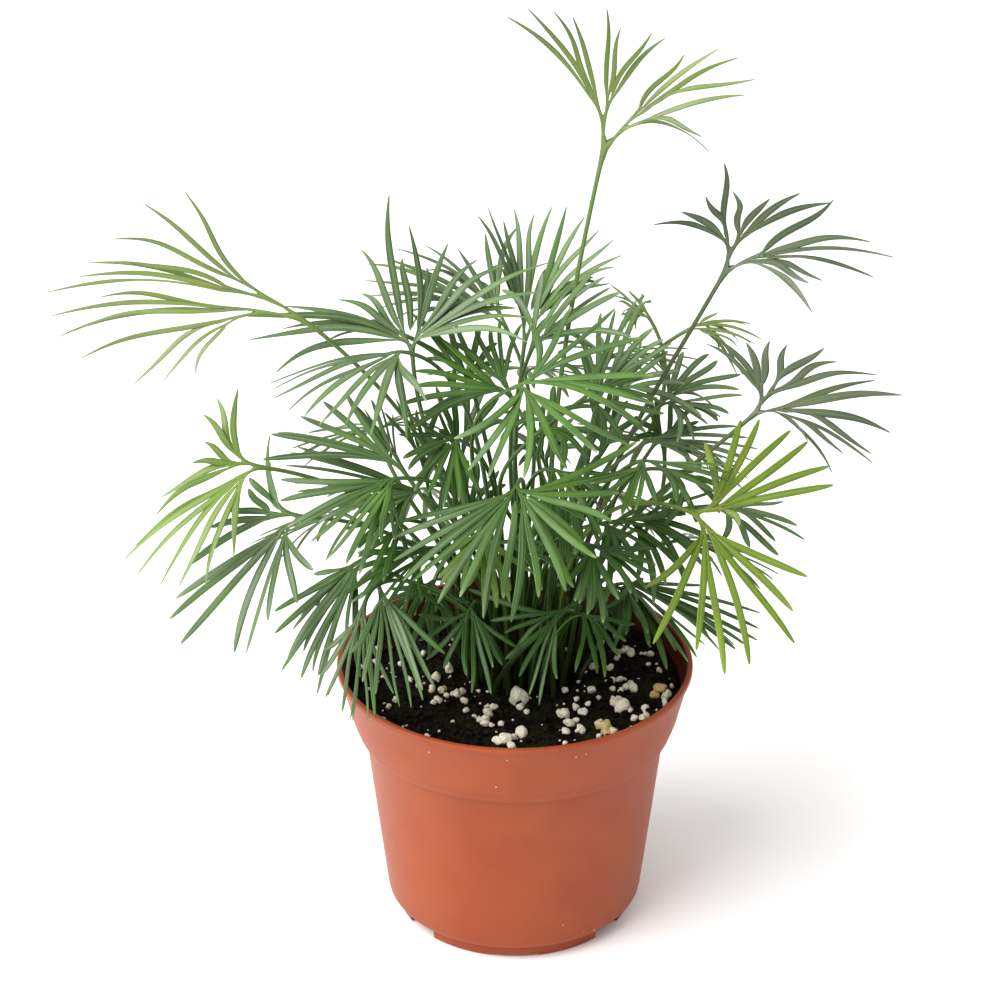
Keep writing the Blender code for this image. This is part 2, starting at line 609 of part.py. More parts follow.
def build_blade(bm, face, corners, blade, sibling, frond):
    knots = [blade["start"], blade["ctrl"], blade["tip"]]
    length = np.linalg.norm(blade["tip"] - blade["start"])
    others = [b for b in frond["blades"] if b is not blade and b is not sibling]
    lines = [line_of(sibling)] + [chain_of(b)[1:] for b in others]
    for t in (0.3, 0.68) if length > LONG_BLADE else (0.45,):
        here = curve(knots, t)
        width = min(blade["width"], width_between(here, lines))
        target = section(here, heading_at(knots, t), blade["side"], width)
        face, corners = grow_to(bm, face, corners, target)
    point = bmesh.ops.poke(bm, faces=[face])["verts"][0]
    point.co = Vector(blade["tip"] * MM)


def build_fork(bm, face, corners, children, frond):
    for child, sibling, (half, ends) in zip(children, children[::-1], fork(bm, face, corners)):
        if child["kind"] == "blade":
            if child["clear"]:
                build_blade(bm, half, ends, child, sibling, frond)
            continue
        width = min(BRANCH_WIDTH, width_between(child["end"], [line_of(sibling)]))
        target = section(child["end"], child["heading"], child["side"], width)
        grown, corners_there = grow_to(bm, half, ends, target)
        build_fork(bm, grown, corners_there, child["children"], frond)


def build_frond(frond):
    bm = bmesh.new()
    bmesh.ops.create_cone(bm, cap_ends=True, segments=3, radius1=MM, radius2=MM, depth=10 * MM)
    face = max(bm.faces, key=lambda f: f.calc_center_median().z)
    corners = list(face.verts)
    base = frond["base"]
    flat_side = unit(frond["side"] - UP * float(frond["side"] @ UP))
    sunk = np.array([base[0], base[1], STIPE_BOTTOM])
    low = section(sunk, UP, flat_side, STIPE_WIDTH)
    high = section(base, UP, flat_side, STIPE_WIDTH)
    for corner, below, above in zip(corners, low, high):
        upright = next(e for e in corner.link_edges if e.other_vert(corner) not in corners)
        upright.other_vert(corner).co = below
        corner.co = above
    for i in range(1, frond["spans"] + 1):
        t = i / frond["spans"]
        side = turned(flat_side, frond["side"], t)
        knots = frond["stipe"]
        target = section(curve(knots, t), heading_at(knots, t), side, STIPE_WIDTH)
        face, corners = grow_to(bm, face, corners, target)
    build_fork(bm, face, corners, frond["children"], frond)
    bmesh.ops.triangulate(bm, faces=bm.faces, quad_method="FIXED", ngon_method="BEAUTY")
    return finish(frond["name"], bm)


def finish(name, bm):
    """Turn a bmesh into an object of its own in the scene."""
    mesh = bpy.data.meshes.new(name)
    bm.to_mesh(mesh)
    bm.free()
    thing = bpy.data.objects.new(name, mesh)
    bpy.context.collection.objects.link(thing)
    return thing


def paint(thing, colour, roughness):
    material = bpy.data.materials.new(thing.name)
    material.use_nodes = True
    shader = material.node_tree.nodes["Principled BSDF"]
    shader.inputs["Base Color"].default_value = (*colour, 1.0)
    shader.inputs["Roughness"].default_value = roughness
    thing.data.materials.append(material)


def spun(name, profile, sides):
    """A solid turned from a profile that starts and ends on the axis."""
    bm = bmesh.new()
    verts = [bm.verts.new((r * MM, 0.0, z * MM)) for r, z in profile]
    edges = [bm.edges.new(pair) for pair in zip(verts, verts[1:])]
    bmesh.ops.spin(bm, geom=verts + edges, cent=(0, 0, 0), axis=(0, 0, 1), angle=2 * math.pi,
                   steps=sides, use_merge=True)
    bmesh.ops.remove_doubles(bm, verts=bm.verts, dist=0.00001)
    bmesh.ops.recalc_face_normals(bm, faces=bm.faces)
    return finish(name, bm)


def apply_boolean(thing, tools, operation, solver="EXACT"):
    """Join or cut all the tools in one step, then remove them."""
    group = bpy.data.collections.new(thing.name + "_tools")
    for tool in tools:
        for old in list(tool.users_collection):
            old.objects.unlink(tool)
        group.objects.link(tool)
    step = thing.modifiers.new(operation.lower(), "BOOLEAN")
    step.operation = operation
    step.solver = solver
    step.operand_type = "COLLECTION"
    step.collection = group
    evaluated = thing.evaluated_get(bpy.context.evaluated_depsgraph_get())
    mesh = bpy.data.meshes.new_from_object(evaluated)
    thing.modifiers.remove(step)
    thing.data = mesh
    for tool in tools:
        bpy.data.objects.remove(tool, do_unlink=True)
    bpy.data.collections.remove(group)


def box_at(name, angle, r0, r1, width, z0, z1):
    """A box that lies along a radius, for cutting the foot."""
    bm = bmesh.new()
    bmesh.ops.create_cube(bm, size=1.0)
    bmesh.ops.scale(bm, vec=((r1 - r0) * MM, width * MM, (z1 - z0) * MM), verts=bm.verts)
    bmesh.ops.translate(bm, vec=((r0 + r1) / 2 * MM, 0, (z0 + z1) / 2 * MM), verts=bm.verts)
    bmesh.ops.rotate(bm, cent=(0, 0, 0), matrix=Matrix.Rotation(angle, 3, "Z"), verts=bm.verts)
    return finish(name, bm)


def rod_at(name, x, y, radius, sides, z0, z1):
    """An upright rod, for cutting a round hole."""
    bm = bmesh.new()
    bmesh.ops.create_cone(bm, cap_ends=True, segments=sides, radius1=radius * MM, radius2=radius * MM,
                          depth=(z1 - z0) * MM)
    bmesh.ops.translate(bm, vec=(x * MM, y * MM, (z0 + z1) / 2 * MM), verts=bm.verts)
    return finish(name, bm)


def build_pot():
    profile = [(0, 0), (PAD_RADIUS, 0), (PAD_RADIUS, FLOOR_UNDER), (FOOT_INNER, FLOOR_UNDER),
               (FOOT_INNER, 0)]
    profile += POT_OUTSIDE + POT_INSIDE + [(0, FLOOR_TOP)]
    pot = spun("pot", profile, POT_SIDES)
    tools = []
    for i, degrees in enumerate(SLOT_ANGLES):
        angle = math.radians(degrees - 90)
        tools.append(box_at("slot", angle, FOOT_INNER - 3, FOOT_RADIUS + 6, SLOT_WIDTH, -1, SLOT_HEIGHT))
        x = DRAIN_FROM_AXIS * math.cos(angle)
        y = DRAIN_FROM_AXIS * math.sin(angle)
        tools.append(rod_at("drain", x, y, DRAIN_RADIUS, 10, FLOOR_UNDER - 1, FLOOR_TOP + 1))
    for angle in (-math.pi / 2, math.pi / 2):
        tools.append(box_at("notch", angle, FOOT_INNER - 3, FOOT_RADIUS + 6, NOTCH_WIDTH, -1,
                            NOTCH_HEIGHT))
    apply_boolean(pot, tools, "DIFFERENCE")
    paint(pot, (0.50, 0.17, 0.09), 0.45)
    return pot


def relief(x, y):
    """Height of the mix above its flat top: level in the crown, uneven towards the rim."""
    r = math.hypot(x, y)
    lumps = math.sin(x * 0.31 + 1.3) * math.cos(y * 0.27) + 0.5 * math.sin(x * 0.17 - y * 0.37)
    rise = min(1.0, max(0.0, (r - MIX_RINGS[-1]) / 8))
    return MIX_RELIEF * lumps * rise


def grain(rng, x, y, size):
    """One perlite grain: a rough ball, half sunk in the mix."""
    bm = bmesh.new()
    bmesh.ops.create_icosphere(bm, subdivisions=1, radius=size / 2 * MM)
    squash = (rng.uniform(0.9, 1.15), rng.uniform(0.85, 1.05), rng.uniform(0.7, 0.95))
    turn = Matrix.Rotation(rng.uniform(0, 2 * math.pi), 3, "Z")
    centre = Vector((x, y, MIX_TOP + relief(x, y) + size * GRAIN_RAISED)) * MM
    bmesh.ops.scale(bm, vec=squash, verts=bm.verts)
    bmesh.ops.rotate(bm, cent=(0, 0, 0), matrix=turn, verts=bm.verts)
    for vert in bm.verts:
        vert.co = vert.co * rng.uniform(0.9, 1.1) + centre
    return finish("grain", bm)


def build_mix(fronds):
    rng = random.Random("perlite")
    profile = [(0, MIX_BOTTOM)] + MIX_OUTSIDE + [(r, MIX_TOP) for r in MIX_RINGS] + [(0, MIX_TOP)]
    mix = spun("potting_mix", profile, MIX_SIDES)
    for vert in mix.data.vertices:
        if vert.co.z > MIX_OUTSIDE[-1][1] * MM + MM:
            vert.co.z += relief(vert.co.x / MM, vert.co.y / MM) * MM
    grains = [(*seen_on_mix(across, down), size) for across, down, size in GRAINS] + HIDDEN_GRAINS
    apply_boolean(mix, [grain(rng, *row) for row in grains], "UNION")
    holes = [rod_at("hole", f["base"][0], f["base"][1], HOLE_RADIUS, 6, HOLE_BOTTOM, MIX_TOP + 4)
             for f in fronds]
    apply_boolean(mix, holes, "DIFFERENCE")
    paint(mix, (0.03, 0.022, 0.015), 0.95)
    return mix


def main():
    for thing in list(bpy.data.objects):
        bpy.data.objects.remove(thing, do_unlink=True)
    fronds = planned_fronds()
    build_pot()
    build_mix(fronds)
    for frond in fronds:
        paint(build_frond(frond), (0.07, 0.16, 0.06), 0.6)


main()
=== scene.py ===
"""A potted eyelash fern: fans of narrow blades on thin stipes, in a terracotta-coloured nursery pot.

Sizes are in mm unless a name says otherwise. The CAD's plan of the fronds is repeated here, and each
frond is grown again along it with finer blades.
"""

import json
import math
import random

import bmesh
import bpy
import numpy as np
from mathutils import Matrix, Vector, noise

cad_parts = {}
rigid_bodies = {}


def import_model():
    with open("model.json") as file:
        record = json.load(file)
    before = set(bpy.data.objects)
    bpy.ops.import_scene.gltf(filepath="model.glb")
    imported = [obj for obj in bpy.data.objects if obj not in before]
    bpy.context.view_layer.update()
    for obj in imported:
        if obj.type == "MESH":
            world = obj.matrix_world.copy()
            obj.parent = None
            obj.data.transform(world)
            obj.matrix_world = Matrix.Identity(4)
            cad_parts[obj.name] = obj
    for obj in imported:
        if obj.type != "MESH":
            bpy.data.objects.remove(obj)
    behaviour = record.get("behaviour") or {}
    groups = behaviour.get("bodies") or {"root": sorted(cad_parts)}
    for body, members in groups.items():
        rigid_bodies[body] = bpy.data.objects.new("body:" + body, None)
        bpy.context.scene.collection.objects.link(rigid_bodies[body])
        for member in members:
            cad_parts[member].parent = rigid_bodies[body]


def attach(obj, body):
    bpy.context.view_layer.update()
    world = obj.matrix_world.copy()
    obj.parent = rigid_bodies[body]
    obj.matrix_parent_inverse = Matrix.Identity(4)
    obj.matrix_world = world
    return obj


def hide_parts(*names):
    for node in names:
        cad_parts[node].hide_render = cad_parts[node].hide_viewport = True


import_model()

MM = 0.001
UP = np.array([0.0, 0.0, 1.0])
# How far to either side of a point of a curve its heading is measured, as a fraction of the curve
NUDGE = 0.01
# Points of a turned piece that lie nearer than this, in metres, become one
MERGED_WITHIN = 0.00001

# Where the photograph was taken from, in mm and degrees, and its focal length and middle in pixels
CAMERA = np.array([-4.5, -769.4, 514.8])
CAMERA_DOWN = math.radians(26.12)
FOCAL_PIXELS = 2900.0
PICTURE_SIZE = 1000.0
PICTURE_MIDDLE = PICTURE_SIZE / 2
SENSOR_WIDTH = 36.0

# Pot, in mm
POT_TURNS = 144
LIP_RADIUS = 54.0
POT_HEIGHT = 84.0
LIP_WIDTH = 1.6
SHOULDER_RADIUS = 46.0
SHOULDER_Z = 61.5
FOOT_RADIUS = 35.7
FOOT_INNER = 33.5
FOOT_ROUNDING = 0.3
FLOOR_UNDER = 4.2
FLOOR_TOP = 5.8
PAD_RADIUS = 7.0
# Ring of rods that keeps the fronds off the lip
RIM_GUARD = 53.0
RIM_GUARD_RODS = 32
SLOT_ANGLES = (-127.7, -52.3, 52.3, 127.7)
SLOT_WIDTH = 11.8
SLOT_HEIGHT = 3.7
NOTCH_WIDTH = 15.0
NOTCH_HEIGHT = 0.9
DRAIN_RADIUS = 4.0
DRAIN_TURNS = 24
DRAIN_FROM_AXIS = 24.0
# How far the cutters reach past the foot's wall inwards and outwards, and past its faces
CUT_INWARDS = 3
CUT_OUTWARDS = 6
CUT_PAST = 1
# Edges sharper than this many degrees stay sharp
SHARP_ANGLE = 40
# Outside and inside of the pot from the foot up and from the lip down: radius and height
POT_OUTSIDE = [
    (FOOT_RADIUS, 0.0), (36.1, 0.25), (36.4, 0.8), (36.6, 3.6), (37.6, 4.4), (38.7, 5.0), (39.3, 5.9),
    (39.6, 7.2), (42.6, 33.0), (SHOULDER_RADIUS - 0.25, SHOULDER_Z - 0.9),
    (SHOULDER_RADIUS, SHOULDER_Z - 0.3), (SHOULDER_RADIUS + 0.5, SHOULDER_Z), (47.6, 62.1), (48.1, 62.9),
    (48.45, 64.2), (48.6, 65.2), (48.8, 65.45), (49.1, 65.6), (50.0, 68.4), (51.3, 74.0), (53.1, 81.4),
    (53.4, 81.9), (53.85, 82.2), (LIP_RADIUS, 82.6), (LIP_RADIUS, 83.4), (53.8, 83.85), (53.4, POT_HEIGHT),
]
POT_INSIDE = [
    (52.7, POT_HEIGHT), (52.35, 83.85), (52.15, 83.5), (52.1, 83.0), (51.9, 81.4), (50.1, 74.0),
    (48.8, 68.4), (47.9, 65.4), (47.2, 64.2), (45.2, 61.4), (44.7, 60.4), (38.4, 8.6), (38.0, 7.0),
    (36.9, FLOOR_TOP),
]

# The wall's inside over the mix, which is darkened with painted shade: above a height, and within a
# radius that grows with it, in metres
INNER_FROM = 0.07
INNER_SLOPE = 0.237
INNER_START = 0.0327

# Potting mix, in mm
MIX_TOP = 76.0
MIX_RINGS = (50.0, 46.0, 40.0, 35.0, 30.0)
MIX_RELIEF = 0.9
# How far out from the crown the relief grows to its full height, and how far from the wall the mix is
# fully broken up
RELIEF_EASES = 8
CALM_EDGE = 2
# Clods and crumbs in the top of the mix: how close they lie, and how high they stand
CLODS = (0.16, 0.9)
CRUMBS = (0.75, 0.75)
# Height over the mix at which the photograph shows a grain's middle
GRAIN_SEEN = 1.0
MIX_BOTTOM = 6.2
MIX_OUTSIDE = [(36.0, MIX_BOTTOM), (37.6, 8.4), (44.1, 60.8), (46.7, 64.8), (48.1, 68.6)]
MIX_TURNS = 180
MIX_STEP = 0.9
# Loose crumbs of peat and fine specks of perlite. They sit with their middle this share of their size
# above the mix.
CRUMB_COUNT = 900
CRUMB_SIZES = (0.7, 3.2)
CRUMBS_FROM_EDGE = 1.5
CRUMB_SITS = 0.12
SPECK_COUNT = 200
SPECK_SIZES = (0.6, 2.6)
SPECKS_FROM_AXIS = 8
SPECKS_FROM_EDGE = 2
COARSE_SPECK = 1.4
GRAIN_SITS = 0.3
GRAIN_FULLER = 1.05
# A grain's tone says how stained it is: clean grains stay under the first, stained ones start at the second
CLEAN_TONES = 0.75
STAINED_TONE = 0.65
# Most loose crumbs and specks are small: the power that a random share of their range is raised to
CRUMBS_SMALL = 2.5
SPECKS_SMALL = 2.2
# Loose lumps: how far they are squashed three ways, tilted in radians and roughened, and their pimples
LUMP_SQUASH = ((0.85, 1.15), (0.8, 1.05), (0.75, 1.05))
LUMP_TILT = 0.5
LUMP_ROUGH = 0.5
DUST_ROUGH = 0.3
LUMP_PIMPLES = 1.6
ANYWHERE = (0.0, 99.0)

# Perlite grains that the photograph shows: pixels across and down it, and size in mm
GRAINS = [
    (519, 700, 6.1), (487, 712, 3), (484, 723, 2.7), (523, 730, 3.9), (505, 741, 4.2),
    (562, 714, 3), (623, 706, 4.5), (665, 702, 2.2),
    (409, 676, 2.2), (396, 697, 2.1), (401, 664, 2), (426, 739, 2), (632, 654, 2.7),
    (570, 722, 3.3), (566, 730, 2.7), (576, 706, 2.7), (591, 690, 2.7), (619, 679, 2.2),
    (620, 690, 2.2), (634, 688, 2.7), (436, 676, 3.3), (449, 661, 2.4), (440, 698, 2.4),
    (418, 684, 2.3), (583, 712, 2.6), (449, 671, 3), (455, 694, 3), (369, 658, 2),
    (390, 703, 2.1), (623, 651, 2.7), (650, 655, 2.2), (616, 702, 3), (629, 709, 2.6), (512, 746, 3),
    (498, 743, 3), (566, 714, 3.4), (579, 728, 3), (486, 718, 2.8), (432, 688, 2.2), (462, 690, 2.4),
]
# The same for grains that the peat has stained
STAINED_GRAINS = [
    (607, 728, 4.4), (614, 731, 3.4), (601, 725, 3), (660, 688, 3.6), (668, 694, 3), (654, 692, 2.8),
    (618, 652, 2.4), (626, 646, 2.2), (441, 690, 2.6),
]
# Perlite grains where the photograph shows none of the mix: x, y and size in mm
HIDDEN_GRAINS = [
    (26, 38, 2.2), (22, -38, 2.2), (-34, 28, 2.8), (-14, 40, 3.4), (6, 43, 2.6), (-40, -26, 2.4),
    (38, -25, 2.3), (10, -42, 2.5), (34, 31, 2.1),
]

# Perlite dust on the pot's wall: pixels across and down the photograph
DUST = ((429, 752), (507, 760), (496, 787), (576, 757), (586, 754), (563, 925), (594, 930), (583, 932))
DUST_SIZE = 0.5
# Distances from the camera at which a sight line is tried against the wall: first, last and step
WALL_SEARCH = (600.0, 960.0, 0.25)

# Crown, in mm: the stipes stand on a spiral of places round its centre
CROWN = np.array([2.0, 10.0])
PLACE_PITCH = 2.6
GOLDEN_ANGLE = 137.5
# How far towards its hub a stipe stands, as a share of the way and at most
LEAN_TO_HUB = 0.25
LEAN_LIMIT = 17.0
# Heights of a stipe's foot in the mix and of the place where it starts to curve
STIPE_BOTTOM = 68.0
STIPE_FREE = 78.0

# Sections of the fronds, in mm
STIPE_WIDTH = 1.8
BRANCH_WIDTH = 1.5
BRANCH_LEAST = 0.7
BLADE_WIDEST = 2.2
BLADE_NARROWEST = 1.1
WIDTH_TO_SPACING = 0.42
RAGGED = 0.05
# A stipe is tested in straight spans: their length, and the fewest and the most
SPAN_LENGTH = 25.0
SPAN_COUNTS = (3, 6)
# A stipe's inner knots: above its base and short of its hub, as shares of the way between the two
STIPE_KNOTS = (0.42, 0.38)
# A branch heads partly for its tips and partly on along its parent, and each is shorter than the last
BRANCH_HEADING = (0.58, 0.42)
BRANCH_SHORTENS = 0.6
# A blade leaves partly along its parent, partly towards its tip and a little upwards, as far as its knot
BLADE_HEADING = (0.6, 0.4, 0.1)
BLADE_KNOT = 0.45
# Rods that stand for a blade: the fractions of it at their ends, and their radii as shares of its width
ROD_ENDS = (0.0, 0.3, 0.68, 1.0)
ROD_RADII = (0.45, 0.5, 0.3)
# Widest blade of the fronds whose blades are narrower than BLADE_WIDEST
SLIM_BLADES = {
    "tall_top": 1.2, "far_left": 1.2, "left_lime": 1.6, "back_top": 1.5, "back_left_top": 1.4,
    "upper_left_fan": 1.7, "upper_left_droop": 1.9, "upper_right_dark": 1.7, "right_dark": 1.9,
    "pale_back_right": 1.1, "pale_back_right_2": 1.1,
}

# How far a stipe or a blade may be bent to stand clear of the others, in mm, what shares of a blade may be
# kept, what a cut costs against a bend, and how far off the others are looked for
GAP = 0.45
OWN_GAP = 0.1
STIPE_SHIFTS = (0, 2, 4, 7, 10, 14, 18, 22)
STIPE_TURNS = 12
STIPE_BENDS = ((1.0, 0.5), (0.2, 1.0), (1.0, -0.4))
BLADE_SHIFTS = (0, -2.5, 2.5, -5, 5, -8, 8, -12, 12)
BLADE_CUTS = (1.0, 0.82, 0.64, 0.46)
CUT_COST = 25
REACH = 25
NOTHING_NEAR = 99.0
# How much of its tip's shift a blade's knot takes
KNOT_FOLLOWS = 0.4
